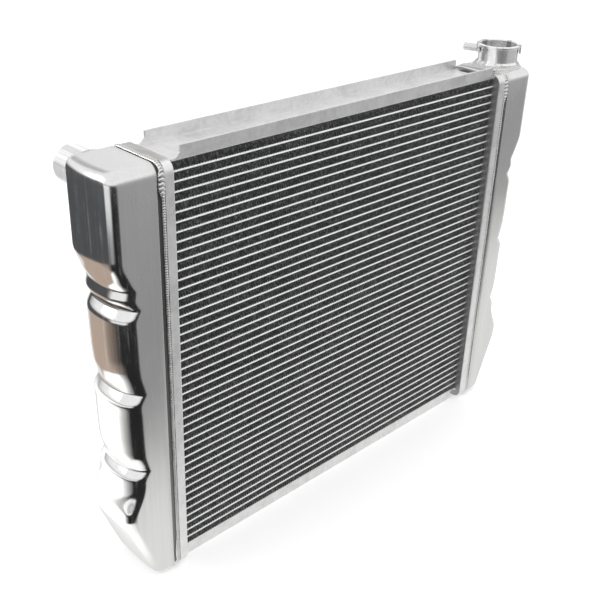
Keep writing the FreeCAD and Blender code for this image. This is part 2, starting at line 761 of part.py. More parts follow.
def ring_weld(name, label, collar, leg, seat):
    near = collar + dims.weld_gap
    return turned_part(name, label, [(near, dims.seat_lift),
                                     (collar + leg, dims.seat_lift),
                                     (near, leg)], seat)


# ------------------------------------------------------ drain boss and cock
def drain_bung():
    bore, spigot, outer = dims.bung_bore, dims.bung_spigot, dims.bung_outer
    depth, top, edge = dims.neck_spigot_depth, dims.bung_top, dims.bung_edge
    return turned_part("bung", "drain_bung", [
        (bore, -depth), (spigot, -depth), (spigot, dims.seat_lift),
        (outer, dims.seat_lift), (outer, top - edge), (outer - edge, top),
        (bore, top)], DRAIN_SEAT)


def drain_cock_body():
    port, shank, barrel = dims.cock_port, dims.cock_shank, dims.cock_barrel
    bore, low, hex_low = dims.cock_bore, dims.cock_shank_low, dims.cock_hex_low
    # the bore ends in a 45-degree seat round the port
    cock = turned_part("cock_turned", "cock_turned", [
        (port, low), (shank, low), (shank, hex_low), (barrel, hex_low),
        (barrel, dims.cock_top), (bore, dims.cock_top),
        (bore, dims.cock_seat_z + (bore - port)), (port, dims.cock_seat_z)])
    hexagon = new_sketch(cock, "cock_hex", "XY_Plane", hex_low)
    corner = dims.cock_hex_flats * (0.5 / math.cos(math.radians(30.0)))
    polygon(hexagon, [polar(corner, 60.0 * i) for i in range(6)])
    circle(hexagon, 0, 0, bore)
    pad(cock, hexagon, "cock_hex_pad", dims.cock_hex_top - hex_low)
    doc.recompute()
    # the spout leaves the barrel along local +Y, which is -Z once seated
    turn = Rotation(Vector(0, 0, 1), Vector(0, 1, 0))
    start = bore + dims.spout_inset
    spout = cylinder("spout_solid", dims.spout_outer, dims.spout_end - start,
                     Placement(point(0, start, dims.spout_z), turn))
    hole = cylinder("spout_hole", dims.spout_inner, dims.spout_end + dims.cut_overrun,
                    Placement(point(0, 0, dims.spout_z), turn))
    joined = boolean("Fuse", "cock_with_spout", cock, spout)
    drilled = boolean("Cut", "cock_drilled", joined, hole)
    drilled.Label = "drain_cock_body"
    drilled.Placement = DRAIN_SEAT
    doc.recompute()
    return drilled


def drain_cock_stem():
    nose, tip, waist, piston = (dims.stem_nose, dims.stem_tip, dims.stem_waist,
                                dims.stem_piston)
    groove, taper, head_top = dims.stem_groove, dims.stem_taper, dims.stem_head_top
    piston_low, top = dims.stem_piston_low, dims.stem_top
    groove_low, groove_top = dims.stem_groove_low, dims.stem_groove_top
    # lifted by 1.5 gaps, the 45-degree tip stays at least one gap off its seat
    tip_low = dims.cock_seat_z + nose - dims.cock_port + dims.stem_seat_gap * 1.5
    stem = turned_part("stem", "drain_cock_stem", [
        (0, tip_low), (nose, tip_low), (tip, tip_low + (tip - nose)),
        (tip, head_top), (waist, head_top + taper), (waist, piston_low - taper),
        (piston, piston_low), (piston, groove_low), (groove, groove_low),
        (groove, groove_top), (piston, groove_top), (piston, top), (0, top)])
    # flat two-eared wing; its outline is symmetric about the axis
    wide, low, high = dims.wing_half_width, dims.wing_low, dims.wing_top
    right = [(dims.wing_root, low), (wide - 2, low + 4), (wide, low + 8),
             (wide - 1, high - 1), (wide - 4, high), (wide * 0.45, high - 3)]
    wing = new_sketch(stem, "wing_outline", "XZ_Plane")
    polygon(wing, right + [(-x, z) for x, z in reversed(right)])
    pad(stem, wing, "wing_pad", dims.wing_thick, midplane=True)
    stem.Placement = DRAIN_SEAT
    doc.recompute()
    return stem


def drain_cock_seal():
    """Ring in the middle of the stem's groove."""
    seal = doc.addObject("Part::Torus", "seal_ring")
    bind(seal, "Radius1", dims.seal_major)
    bind(seal, "Radius2", dims.seal_minor)
    seal.Label = "drain_cock_seal"
    middle = (dims.stem_groove_low + dims.stem_groove_top) * 0.5
    seal.Placement = DRAIN_SEAT.multiply(Placement(point(0, 0, middle), Rotation()))
    doc.recompute()
    return seal


# ----------------------------------------------------------- build and write
NODES = [
    tube_row("tubes_front", "core_tubes_front", -dims.tube_row_y),
    tube_row("tubes_rear", "core_tubes_rear", dims.tube_row_y),
    fin_stack(),
    header("pan_right", "header_right", RIGHT),
    header("pan_left", "header_left", LEFT),
    right_tank(),
    left_tank(),
    seam("bead_right", "seam_weld_right", RIGHT),
    seam("bead_left", "seam_weld_left", LEFT),
    top_rail(),
    bottom_rail(),
    channel_end_welds(),
    filler(),
    ring_weld("filler_bead", "filler_neck_weld", dims.filler_collar, dims.weld_leg,
              FILLER_SEAT),
    overflow_nipple(),
    hose_neck("neck_in", "inlet_neck", dims.inlet_outer, dims.inlet_inner,
              dims.inlet_collar, INLET_SEAT),
    ring_weld("neck_in_bead", "inlet_neck_weld", dims.inlet_collar, dims.weld_leg,
              INLET_SEAT),
    hose_neck("neck_out", "outlet_neck", dims.outlet_outer, dims.outlet_inner,
              dims.outlet_collar, OUTLET_SEAT),
    ring_weld("neck_out_bead", "outlet_neck_weld", dims.outlet_collar, dims.weld_leg,
              OUTLET_SEAT),
    drain_bung(),
    ring_weld("bung_bead", "drain_bung_weld", dims.bung_outer, dims.bung_weld_leg,
              DRAIN_SEAT),
    drain_cock_body(),
    drain_cock_stem(),
    drain_cock_seal(),
]
# solids in each node that is not a single one; each channel has four end welds
TUBES = int(dims.tube_count.value)
SOLIDS = {"core_tubes_front": TUBES, "core_tubes_rear": TUBES,
          "core_fins": TUBES + 1, "channel_welds": 8}

doc.recompute()
for item in doc.Objects:
    state = list(getattr(item, "State", []))
    if "Invalid" in state or "Error" in state:
        raise RuntimeError("%s failed: %s" % (item.Label, state))
for item in NODES:
    shape = item.Shape
    if shape.isNull() or not shape.isValid():
        raise RuntimeError("%s has no valid shape" % item.Label)
    expected = SOLIDS.get(item.Label, 1)
    if len(shape.Solids) != expected:
        raise RuntimeError("%s has %d solids, not %d"
                           % (item.Label, len(shape.Solids), expected))
for item in NODES:
    item.Shape.exportStep(os.path.join("parts", item.Label + ".step"))
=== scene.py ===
"""An aluminium radiator: a core of flat tubes and folded fins between two end tanks.

It stands on the floor with its width along X (left is -X), its front facing -Y and
+Z up. Meshes are worked out in millimetres in the row frame and stored in metres;
materials, lights and the camera are in metres.
"""
import math

import bmesh
import bpy
import numpy as np
from mathutils import Matrix, Vector


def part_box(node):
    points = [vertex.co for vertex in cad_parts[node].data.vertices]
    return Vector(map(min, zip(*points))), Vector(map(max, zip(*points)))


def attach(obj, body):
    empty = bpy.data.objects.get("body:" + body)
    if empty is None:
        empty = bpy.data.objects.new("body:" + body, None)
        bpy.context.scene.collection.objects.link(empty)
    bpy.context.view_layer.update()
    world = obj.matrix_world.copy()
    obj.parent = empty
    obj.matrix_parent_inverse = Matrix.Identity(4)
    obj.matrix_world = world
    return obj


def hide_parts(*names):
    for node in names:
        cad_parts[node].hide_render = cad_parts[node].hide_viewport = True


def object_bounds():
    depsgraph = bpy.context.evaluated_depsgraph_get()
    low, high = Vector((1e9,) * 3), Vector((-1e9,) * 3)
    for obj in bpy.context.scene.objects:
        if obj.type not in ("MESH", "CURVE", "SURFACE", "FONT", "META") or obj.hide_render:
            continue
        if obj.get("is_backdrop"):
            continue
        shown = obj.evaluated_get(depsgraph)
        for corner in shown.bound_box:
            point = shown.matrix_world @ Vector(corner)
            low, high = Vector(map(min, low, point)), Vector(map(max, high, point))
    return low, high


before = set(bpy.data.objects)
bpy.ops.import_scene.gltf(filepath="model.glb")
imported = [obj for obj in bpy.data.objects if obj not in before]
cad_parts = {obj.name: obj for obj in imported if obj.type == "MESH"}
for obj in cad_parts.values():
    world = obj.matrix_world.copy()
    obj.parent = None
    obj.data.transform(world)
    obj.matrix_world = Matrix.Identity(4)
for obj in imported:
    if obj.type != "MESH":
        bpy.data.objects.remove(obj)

MM = 0.001


def plain(value):
    """Bounds as plain lists of numbers."""
    if isinstance(value, (int, float)):
        return float(value)
    return [plain(part) for part in value]


size_cad = plain(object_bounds())


# ------------------------------------------------------- driving dimensions (mm)
def box_mm(node):
    low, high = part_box(node)
    return np.array(low) / MM, np.array(high) / MM


def middle(node):
    low, high = box_mm(node)
    return (low + high) / 2


header_low, header_high = box_mm("header_right")
HALF = float(header_high[1])                # half the depth of tank and header
Z_LOW, Z_TOP = float(header_low[2]), float(header_high[2])
TANK_START = float(header_high[0]) + 7.5    # where the tank's full section begins
SKIRT_START = float(box_mm("tank_right")[0][0])
WALL = 2.0                                  # thickness of the tank's sheet
EDGE_R = 10.5                               # rounding of the tank's outer side face
RING_R = 12.0                               # corners of the outline seen along X

FILLER = middle("filler_neck")
INLET = middle("inlet_neck")
OUTLET = middle("outlet_neck")
BUNG = middle("drain_bung")
NIPPLE = middle("overflow_nipple")


# ------------------------------------------------------------------ mesh helpers
def make_object(name, verts, faces, sharp=None):
    """A smooth object from vertices in millimetres; sharp is an edge angle in degrees."""
    mesh = bpy.data.meshes.new(name)
    mesh.from_pydata([tuple(float(part) * MM for part in vert) for vert in verts], [],
                     [tuple(int(i) for i in face) for face in faces])
    mesh.validate()
    mesh.update()
    obj = bpy.data.objects.new(name, mesh)
    bpy.context.scene.collection.objects.link(obj)
    bm = bmesh.new()
    bm.from_mesh(mesh)
    bmesh.ops.recalc_face_normals(bm, faces=bm.faces)
    bm.to_mesh(mesh)
    bm.free()
    mesh.update()
    shade(mesh, sharp)
    return obj


def shade(mesh, sharp=None):
    mesh.shade_smooth()
    if sharp is not None:
        mesh.set_sharp_from_angle(angle=math.radians(sharp))


def grid_faces(rows, cols, closed=True, base=0):
    """Quads over rows of closed rings; closed also joins the last row to the first."""
    faces = []
    for i in range(rows if closed else rows - 1):
        here = base + i * cols
        after = base + ((i + 1) % rows) * cols
        for j in range(cols):
            k = (j + 1) % cols
            faces.append((here + j, here + k, after + k, after + j))
    return faces


def settle(obj, material, replaced):
    """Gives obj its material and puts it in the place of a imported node."""
    obj.data.materials.clear()
    obj.data.materials.append(material)
    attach(obj, "root")
    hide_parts(replaced)


def wobble(length, seed, scales=((41.0, 0.5), (17.3, 0.3), (7.1, 0.2))):
    """Smooth repeatable noise along a length, about -1..1; scales are (wavelength, weight)."""
    rng = np.random.RandomState(seed)
    length = np.asarray(length, float)
    total = np.zeros_like(length)
    for wavelength, weight in scales:
        for _ in range(3):
            total = total + weight / 1.6 * np.sin(
                2 * math.pi * length / (wavelength * (0.7 + 0.6 * rng.rand()))
                + 2 * math.pi * rng.rand())
    return total


def ripple(phase):
    """One weld ripple per unit of phase, 0..1: slow rise, quick fall."""
    peak = 0.62
    part = phase - np.floor(phase)
    rise = np.clip(part / peak, 0, 1)
    fall = np.clip((1 - part) / (1 - peak), 0, 1)
    level = np.where(part < peak, rise, fall)
    return level * level * (3 - 2 * level)


def outline(half, low, top, radius, rows, angles):
    """(y, z, normal y, normal z) round a box with rounded corners.

    It runs up the front, back over the top, down the rear and forward underneath.
    rows holds the z, y, z and y values along those sides; angles step each corner.
    """
    near, low_centre, top_centre = half - radius, low + radius, top - radius
    sides = (  # outward normal, points, centre of the corner that follows
        ((-1.0, 0.0), [(-half, z) for z in rows[0]], (-near, top_centre)),
        ((0.0, 1.0), [(y, top) for y in rows[1]], (near, top_centre)),
        ((1.0, 0.0), [(half, z) for z in rows[2]], (near, low_centre)),
        ((0.0, -1.0), [(y, low) for y in rows[3]], (-near, low_centre)))
    found = []
    for i, (normal, points, centre) in enumerate(sides):
        found += [(*point, *normal) for point in points]
        following = sides[(i + 1) % 4][0]
        for angle in angles:
            out_y, out_z = (before * math.cos(angle) + after * math.sin(angle)
                            for before, after in zip(normal, following))
            found.append((centre[0] + radius * out_y, centre[1] + radius * out_z,
                          out_y, out_z))
    return found


# ---------------------------------------------------------------- shader helpers
def rgba(colour):
    """A grey level or an (r, g, b) triple as an opaque colour."""
    red, green, blue = colour if isinstance(colour, tuple) else (colour,) * 3
    return red, green, blue, 1.0


def is_socket(value):
    return isinstance(value, bpy.types.NodeSocket)


class Graph:
    """Short-hand for one shader node tree; most methods return an output socket."""

    def __init__(self, tree, coordinates):
        self.tree = tree
        tree.nodes.clear()
        self.coord = self.node("TexCoord").outputs[coordinates]

    def node(self, kind, inputs=None, **settings):
        """A node; inputs maps socket names or numbers to sockets or plain values."""
        node = self.tree.nodes.new("ShaderNode" + kind)
        for key, value in settings.items():
            setattr(node, key, value)
        for key, value in (inputs or {}).items():
            if is_socket(value):
                self.tree.links.new(value, node.inputs[key])
            else:
                node.inputs[key].default_value = value
        return node

    def math(self, operation, first, second=0.0, clamp=False):
        return self.node("Math", {0: first, 1: second, 2: 0.0},
                         operation=operation, use_clamp=clamp).outputs[0]

    def add(self, total, *others):
        for other in others:
            total = self.math("ADD", total, other)
        return total

    def times(self, total, *others):
        for other in others:
            total = self.math("MULTIPLY", total, other)
        return total

    def minus(self, first, second):
        return self.math("SUBTRACT", first, second)

    def weighted(self, *pairs):
        """Sum of (value, weight) pairs."""
        return self.add(*[self.times(value, weight) for value, weight in pairs])

    def size(self, value):
        return self.math("ABSOLUTE", value)

    def distance(self, across, along):
        return self.math("SQRT", self.add(self.times(across, across),
                                          self.times(along, along)))

    def xyz(self, vector=None):
        return self.node("SeparateXYZ", {0: vector or self.coord}).outputs[:3]

    def vector(self, *parts):
        return self.node("CombineXYZ", dict(enumerate(parts))).outputs[0]

    def grey(self, level):
        return self.node("CombineColor", {0: level, 1: level, 2: level}).outputs[0]

    def scaled(self, frequency, rotate=(0, 0, 0)):
        if not isinstance(frequency, tuple):
            frequency = (frequency,) * 3
        return self.node("Mapping", {"Vector": self.coord, "Scale": frequency,
                                     "Rotation": rotate}).outputs[0]

    def noise_at(self, vector, detail=3.0, rough=0.6, distort=0.0):
        return self.node("TexNoise", {
            "Vector": vector, "Scale": 1.0, "Detail": detail,
            "Roughness": rough, "Distortion": distort}).outputs["Fac"]

    def noise(self, frequency, rotate=(0, 0, 0), **settings):
        """Noise with one frequency per metre, or one for each axis."""
        return self.noise_at(self.scaled(frequency, rotate), **settings)

    def span(self, value, over, to=(0.0, 1.0), smooth=False):
        """Maps the range over onto the range to, held at both ends."""
        return self.node("MapRange", dict(enumerate((value, *over, *to))),
                         interpolation_type="SMOOTHSTEP" if smooth else "LINEAR").outputs[0]

    def fade(self, value, over, to=(0.0, 1.0)):
        """The same as span with soft ends."""
        return self.span(value, over, to, smooth=True)

    def ramp(self, value, stops):
        """stops are (position, colour)."""
        node = self.node("ValToRGB", {0: value})
        elements = node.color_ramp.elements
        while len(elements) < len(stops):
            elements.new(0.5)
        for element, (position, colour) in zip(elements, stops):
            element.position = position
            element.color = rgba(colour)
        return node.outputs[0]

    def mix(self, factor, first, second):
        first, second = (value if is_socket(value) else rgba(value)
                         for value in (first, second))
        return self.node("Mix", {0: factor, 6: first, 7: second},
                         data_type="RGBA").outputs[2]

    def geometry(self, output):
        return self.node("NewGeometry").outputs[output]

    def bump(self, height, distance, strength, normal=None):
        inputs = {"Strength": strength, "Distance": distance, "Height": height}
        if normal is not None:
            inputs["Normal"] = normal
        return self.node("Bump", inputs).outputs[0]

    def soft_edge(self, radius):
        return self.node("Bevel", {"Radius": radius}, samples=3).outputs[0]


class Material(Graph):
    def __init__(self, name):
        self.material = bpy.data.materials.new(name)
        self.material.use_nodes = True
        super().__init__(self.material.node_tree, "Object")

    def output(self, shader):
        self.node("OutputMaterial", {0: shader})
        return self.material

    def finish(self, colour, rough, normal, metal=1.0):
        return self.output(self.node("BsdfPrincipled", {
            "Base Color": colour, "Roughness": rough,
            "Metallic": metal, "Normal": normal}).outputs[0])


# --------------------------------------------------------------------- materials
def polished_tank():
    """Buffed sheet: streaks along the height, satin front, rear, top and bottom."""
    mat = Material("polished_tank")
    _, normal_y, normal_z = mat.xyz(mat.geometry("True Normal"))
    x, _, z = mat.xyz()
    satin = mat.math("MAXIMUM", mat.fade(mat.size(normal_y), over=(0.90, 0.995)),
                     mat.fade(mat.size(normal_z), over=(0.90, 0.995)))
    turn = (0.50, 0.35, 0.20)   # tilts the streaks off the axes
    streak = mat.noise((900, 900, 14), rotate=turn, detail=4.0)
    broad_streak = mat.noise((260, 260, 5), rotate=turn, rough=0.5)
    cloud = mat.noise((16, 16, 9), rough=0.55)
    fleck = mat.noise((420, 420, 330), detail=2.0, rough=0.5)
    from_middle = mat.size(x)

    # a ragged dull band, the first few millimetres beside the seam
    ragged = mat.add(from_middle, mat.times(mat.minus(cloud, 0.5), 0.006))
    heat = mat.fade(ragged, over=(0.2635, 0.2720), to=(1.0, 0.0))
    # the skirt inboard of the full section is rougher and painted dark as shade in the slot
    # beside the seam bead, darker higher up
    shaded_skirt = mat.fade(from_middle, over=(0.26345, 0.26385), to=(1.0, 0.0))
    skirt_shade_grey = mat.grey(mat.span(z, over=(0.10, 0.30), to=(0.42, 0.20)))

    base = mat.ramp(mat.weighted((cloud, 0.55), (broad_streak, 0.45)),
                    [(0.25, 0.80), (0.55, (0.87, 0.87, 0.868)), (0.8, (0.91, 0.91, 0.90))])
    base = mat.mix(mat.times(heat, 0.35), base, (0.62, 0.60, 0.57))
    # painted shade: the skirt in the slot beside the seam bead is darkened
    base = mat.mix(shaded_skirt, base, skirt_shade_grey)
    rough = mat.add(
        mat.times(satin, 0.13), 0.085,
        mat.span(streak, over=(0.3, 0.75), to=(-0.02, 0.05)),
        mat.span(cloud, over=(0.35, 0.7), to=(-0.015, 0.035)),
        mat.times(heat, 0.12),
        mat.times(shaded_skirt, 0.4),
        mat.fade(z, over=(0.415, 0.452), to=(0.0, 0.10)))

    wave = mat.noise((30, 30, 22), detail=1.0, rough=0.4)
    normal = mat.bump(wave, distance=0.0009, strength=0.22)
    normal = mat.bump(mat.weighted((streak, 1.0), (fleck, 0.35)),
                      distance=0.00005, strength=0.22, normal=normal)

    # rubbing marks along the height scatter a little light
    rub = mat.noise((330, 330, 7), rotate=turn, rough=0.62)
    spot = mat.noise((95, 95, 38), detail=4.0, rough=0.65)
    mark = mat.times(mat.fade(rub, over=(0.47, 0.72)),
                     mat.fade(spot, over=(0.42, 0.68), to=(0.15, 1.0)),
                     mat.minus(1.0, mat.times(satin, 0.85)))
    metal = mat.minus(1.0, mat.times(mark, 0.11))
    return mat.finish(base, rough, normal, metal)


def grime_and_side_shade(mat, base, cloud):
    """Grime on upward faces, and painted shade darkening faces turned along X, as on the
    header's inner face beside the core.
    """
    normal_x, _, normal_z = mat.xyz(mat.geometry("True Normal"))
    most = 0.85     # grime cover where it is thickest
    patches = mat.noise((90, 22, 90))
    grime = mat.times(mat.fade(normal_z, over=(0.80, 0.99)),
                      mat.span(patches, over=(0.3, 0.6), to=(most * 0.6, most)))
    base = mat.mix(grime, base, (0.36, 0.35, 0.34))
    # painted shade: faces turned along X, the header's inner face beside the core among them,
    # are darkened
    side_shade = mat.times(mat.fade(mat.size(normal_x), over=(0.80, 0.97), to=(0.0, 0.75)),
                     mat.span(cloud, over=(0.3, 0.6), to=(0.75, 1.0)))
    return mat.mix(side_shade, base, 0.17)


def satin_sheet(name, light, rolling, metal, grimed_and_side_shaded=False):
    """Mill-finished sheet: rolling lines, cloudy handling marks, a few scratches."""
    mat = Material(name)
    roll = mat.noise(rolling, detail=4.0)
    cloud = mat.noise(34, detail=5.0, rough=0.62, distort=0.6)
    mottle = mat.noise(190, distort=0.3)

    # short bright scratches along cell borders, kept in patches
    cells = mat.node("TexVoronoi", {"Vector": mat.scaled((55, 55, 140), (0.3, 0.5, 0.7)),
                                    "Scale": 1.0}, feature="DISTANCE_TO_EDGE")
    scratch = mat.times(
        mat.span(cells.outputs["Distance"], over=(0.0, 0.012), to=(1.0, 0.0)),
        mat.span(mat.noise(60, detail=1.0, rough=0.5), over=(0.58, 0.66)))

    base = mat.ramp(mat.weighted((cloud, 0.6), (mottle, 0.4)),
                    [(0.30, light * 0.80), (0.52, light), (0.74, light * 1.10)])
    base = mat.mix(mat.times(scratch, 0.5), base, 0.95)
    # grime on upward faces and painted shade on faces turned along X
    if grimed_and_side_shaded:
        base = grime_and_side_shade(mat, base, cloud)
    rough = mat.add(0.36, mat.span(cloud, over=(0.3, 0.75), to=(-0.07, 0.10)),
                    mat.span(roll, over=(0.3, 0.7), to=(-0.03, 0.05)))
    rough = mat.minus(rough, mat.times(scratch, 0.12))
    height = mat.minus(mat.weighted((roll, 0.6), (mottle, 0.9)), mat.times(scratch, 0.6))
    normal = mat.bump(height, distance=0.00008, strength=0.5,
                      normal=mat.soft_edge(radius=0.0005))
    return mat.finish(base, rough, normal, metal)


def weld_metal():
    """Ridges bright, hollows dark."""
    mat = Material("weld_bead")
    fine = mat.noise(520)
    cloud = mat.noise(60)
    ridge = mat.fade(mat.geometry("Pointiness"), over=(0.46, 0.56))
    base = mat.ramp(mat.weighted((ridge, 0.75), (cloud, 0.3)),
                    [(0.10, (0.33, 0.32, 0.31)), (0.45, (0.66, 0.65, 0.64)), (0.85, 0.93)])
    rough = mat.add(0.24, mat.span(cloud, over=(0.3, 0.7), to=(-0.04, 0.12)))
    return mat.finish(base, rough, mat.bump(fine, distance=0.00010, strength=0.5))


def turned_metal(name, centre, axis, light=0.84, metal=1.0,
                 sectors=2.6, shade=0.45, shade_grey=0.52):
    """Lathe marks about an axis (1 for Y, 2 for Z) through centre, in millimetres.

    Darker sectors run round it as painted dark reflection bands: sectors is how often, shade
    how strong.
    """
    mat = Material(name)
    position = mat.xyz()
    other = 3 - axis        # the axis that lies across, besides X
    across = mat.minus(position[0], centre[0] * MM)
    along = mat.minus(position[other], centre[other] * MM)
    path = mat.add(mat.distance(across, along), position[axis])
    angle = mat.math("ARCTAN2", along, across)

    groove = mat.noise_at(mat.vector(mat.times(path, 2600.0), mat.times(angle, 1.2)),
                          rough=0.7)
    band = mat.noise_at(mat.vector(mat.times(path, 420.0)), detail=2.0, rough=0.5)
    cloud = mat.noise(70)
    nick = mat.span(mat.noise(240, detail=2.0, rough=0.5), over=(0.66, 0.74))
    reflection_band_noise = mat.noise_at(mat.vector(mat.times(mat.math("SINE", angle), sectors),
                                          mat.times(mat.math("COSINE", angle), sectors)),
                               detail=2.0)

    base = mat.ramp(mat.weighted((band, 0.6), (cloud, 0.4)),
                    [(0.3, light * 0.88), (0.55, light), (0.75, min(0.96, light * 1.09))])
    base = mat.mix(mat.times(nick, 0.3), base, 0.55)
    # painted reflection: dark bands running round the turned part
    base = mat.mix(mat.fade(reflection_band_noise, over=(0.46, 0.58), to=(0.0, shade)),
                   base, shade_grey)
    rough = mat.add(mat.add(0.17, mat.span(groove, over=(0.3, 0.7), to=(-0.03, 0.07))),
                    mat.span(cloud, over=(0.35, 0.7), to=(0.0, 0.06)))
    normal = mat.bump(groove, distance=0.00004, strength=0.6,
                      normal=mat.soft_edge(radius=0.0004))
    return mat.finish(base, rough, normal, metal)


def tube_metal():
    mat = Material("tube_aluminium")
    run = mat.noise((20, 160, 420))
    spots = mat.noise(330)
    base = mat.ramp(mat.weighted((run, 0.55), (spots, 0.45)),
                    [(0.30, 0.74), (0.50, 0.92), (0.72, (0.98, 0.98, 0.97))])
    rough = mat.span(spots, over=(0.3, 0.7), to=(0.24, 0.42))
    return mat.finish(base, rough, mat.bump(spots, distance=0.00010, strength=0.5),
                      metal=0.42)


def fin_metal():
    """Dark grained sheet with louvre slits pressed across each fin wall."""
    mat = Material("fin_dark")
    louvre_pitch = 0.0016
    grain = mat.noise((1150, 90, 330), rotate=(0.1, 0.15, 0.05))
    cloud = mat.noise(26)
    _, y, _ = mat.xyz()
    louvre = mat.math("SINE", mat.times(y, 2 * math.pi / louvre_pitch))
    base = mat.ramp(mat.weighted((grain, 0.88), (cloud, 0.12)),
                    [(0.30, (0.035, 0.037, 0.037)), (0.50, (0.095, 0.099, 0.099)),
                     (0.72, (0.34, 0.345, 0.345))])
    rough = mat.span(grain, over=(0.3, 0.7), to=(0.34, 0.55))
    return mat.finish(base, rough, mat.bump(louvre, distance=0.0003, strength=0.4),
                      metal=0.70)


def brass():
    mat = Material("tap_brass")
    cloud = mat.noise(110, detail=4.0)
    fine = mat.noise(600)
    base = mat.ramp(cloud, [(0.3, (0.50, 0.34, 0.13)), (0.55, (0.72, 0.52, 0.22)),
                            (0.75, (0.82, 0.64, 0.33))])
    rough = mat.span(cloud, over=(0.3, 0.7), to=(0.24, 0.40))
    normal = mat.bump(fine, distance=0.00008, strength=0.4,
                      normal=mat.soft_edge(radius=0.0004))
    return mat.finish(base, rough, normal)


def rubber():
    mat = Material("seal_rubber")
    fine = mat.noise(900)
    base = mat.ramp(fine, [(0.3, 0.012), (0.7, (0.035, 0.034, 0.033))])
    rough = mat.span(fine, over=(0.3, 0.7), to=(0.5, 0.7))
    return mat.finish(base, rough, mat.bump(fine, distance=0.00005, strength=0.5),
                      metal=0.0)


ALONG_Y, ALONG_Z = 1, 2
POLISHED = polished_tank()
HEADER_METAL = satin_sheet("mill_header", light=0.86, rolling=(700, 700, 12), metal=0.80,
                           grimed_and_side_shaded=True)
CHANNEL_METAL = satin_sheet("mill_channel", light=0.84, rolling=(12, 700, 700), metal=0.85)
WELD = weld_metal()
TUBE = tube_metal()
FIN = fin_metal()
BRASS = brass()
RUBBER = rubber()
TURNED_FILLER = turned_metal("turned_filler", FILLER, ALONG_Z, light=0.97, metal=0.80,
                             sectors=1.7, shade=0.75, shade_grey=0.25)
TURNED_INLET = turned_metal("turned_inlet", INLET, ALONG_Y, light=0.90, metal=0.45)
TURNED_OUTLET = turned_metal("turned_outlet", OUTLET, ALONG_Y)
TURNED_BUNG = turned_metal("turned_bung", BUNG, ALONG_Y)
TURNED_NIPPLE = turned_metal("turned_nipple", NIPPLE, ALONG_Y, light=0.85, metal=0.85)

# ------------------------------------------------------- shape of the tank's skin
STATION_STEP = 0.25
STATIONS = np.arange(-40.0, 490.0, STATION_STEP)    # heights of the sampled profiles

# (z, distance from the middle plane) of the side face near the tank's two ends
END_PROFILE = [
    (-40, 275.9), (-12, 286.5), (-2, 290.3), (67, 316.6), (79, 319.0), (89, 317.6),
    (108, 313.0), (122, 310.5), (337, 310.5), (365, 316.9), (446, 317.0), (457, 317.0)]
# (z, offset along X) of the bulged middle, pressed in at the creases
RELIEF = [
    (-40, 0.8), (112, 1.0), (127, 0.8), (136, -6.0), (155, -1.0), (170, -0.3), (205, 0.2),
    (217, 1.0), (227.8, -6.5), (249, -1.0), (265, 0.0), (300, 0.6), (310, 1.1),
    (320.5, -5.8), (331, 0.9), (341.5, -2.6), (349, 0.4), (490, 1.0)]
CREASES = (136.0, 227.8, 320.5, 341.5)
CREASE_WIDTH = 2.2
BULGE_X, BULGE_DEPTH = 292.0, 19.5      # foot of the bulge in plan, and its height
BULGE_POWER = 2.2                       # 2 would be half an ellipse


def sampled(rows):
    heights, values = zip(*rows)
    return np.interp(STATIONS, heights, values)


def soften(values, sigma):
    """Gaussian blur along the stations; sigma in millimetres."""
    reach = int(round(4 * sigma / STATION_STEP))
    offsets = np.arange(-reach, reach + 1) * STATION_STEP
    kernel = np.exp(-0.5 * (offsets / sigma) ** 2)
    padded = np.concatenate([np.full(reach, values[0]), values, np.full(reach, values[-1])])
    return np.convolve(padded, kernel / kernel.sum(), mode="valid")


def relief_profile():
    """Relief blurred lightly at the creases and more between them."""
    near = np.zeros_like(STATIONS)
    for crease in CREASES:
        near = np.maximum(near, np.exp(-0.5 * ((STATIONS - crease) / CREASE_WIDTH) ** 2))
    rows = sampled(RELIEF)
    return soften(rows, 0.7) * near + soften(rows, 2.4) * (1 - near)


def bulge_share():
    """0 at the tank's ends, 1 over the bulged middle."""
    share = np.clip(np.minimum((STATIONS - 84) / 40.0, (374 - STATIONS) / 42.0), 0, 1)
    return share * share * (3 - 2 * share)


END_SIDE = soften(sampled(END_PROFILE), 2.6)
MIDDLE_RELIEF = relief_profile()
BULGE_SHARE = bulge_share()
# how far the side face falls from its middle to where the edge rounding starts
CROWN = np.interp(STATIONS, [60, 130, 340, 372], [1.0, 1.2, 1.6, 2.6])


def at_height(z, values):
    return float(np.interp(z, STATIONS, values))


def rounding(past, radius):
    """Fall of a rounded edge, past millimetres beyond where the rounding starts."""
    past = min(max(past, 0.0), radius)
    return radius - math.sqrt(radius ** 2 - past ** 2)


def end_x(z, y):
    """Side face of the end sections, without the rounded edge."""
    share = min(abs(y), HALF - EDGE_R) / (HALF - EDGE_R)
    return float(np.interp(z, STATIONS, END_SIDE)
                 - np.interp(z, STATIONS, CROWN) * share * share)


def skin_x(y, z, inset):
    """Outer skin's distance from the middle plane, inset within its outline."""
    end = end_x(z, y) - rounding(EDGE_R - inset, EDGE_R)
    share = at_height(z, BULGE_SHARE)
    if share <= 0:
        return end
    across = min(1.0, abs(y) / HALF)
    bulge = (BULGE_X + at_height(z, MIDDLE_RELIEF)
             + BULGE_DEPTH * math.sqrt(max(0.0, 1 - across ** BULGE_POWER)))
    return end * (1 - share) + bulge * share


def inner_x(y, z, inset):
    """Inner skin, one wall inside the outer."""
    return skin_x(y * HALF / (HALF - WALL), z, inset - WALL) - WALL


# ------------------------------------------------------------------------- tanks
ROW_Z = list(np.arange(Z_LOW + RING_R, Z_TOP - RING_R + 0.01, 1.0))
ROW_Z[-1] = Z_TOP - RING_R
ARC = [math.radians(degrees) for degrees in np.linspace(0, 90, 9)[1:-1]]
COLS = 27
TANK_SHARP = 50


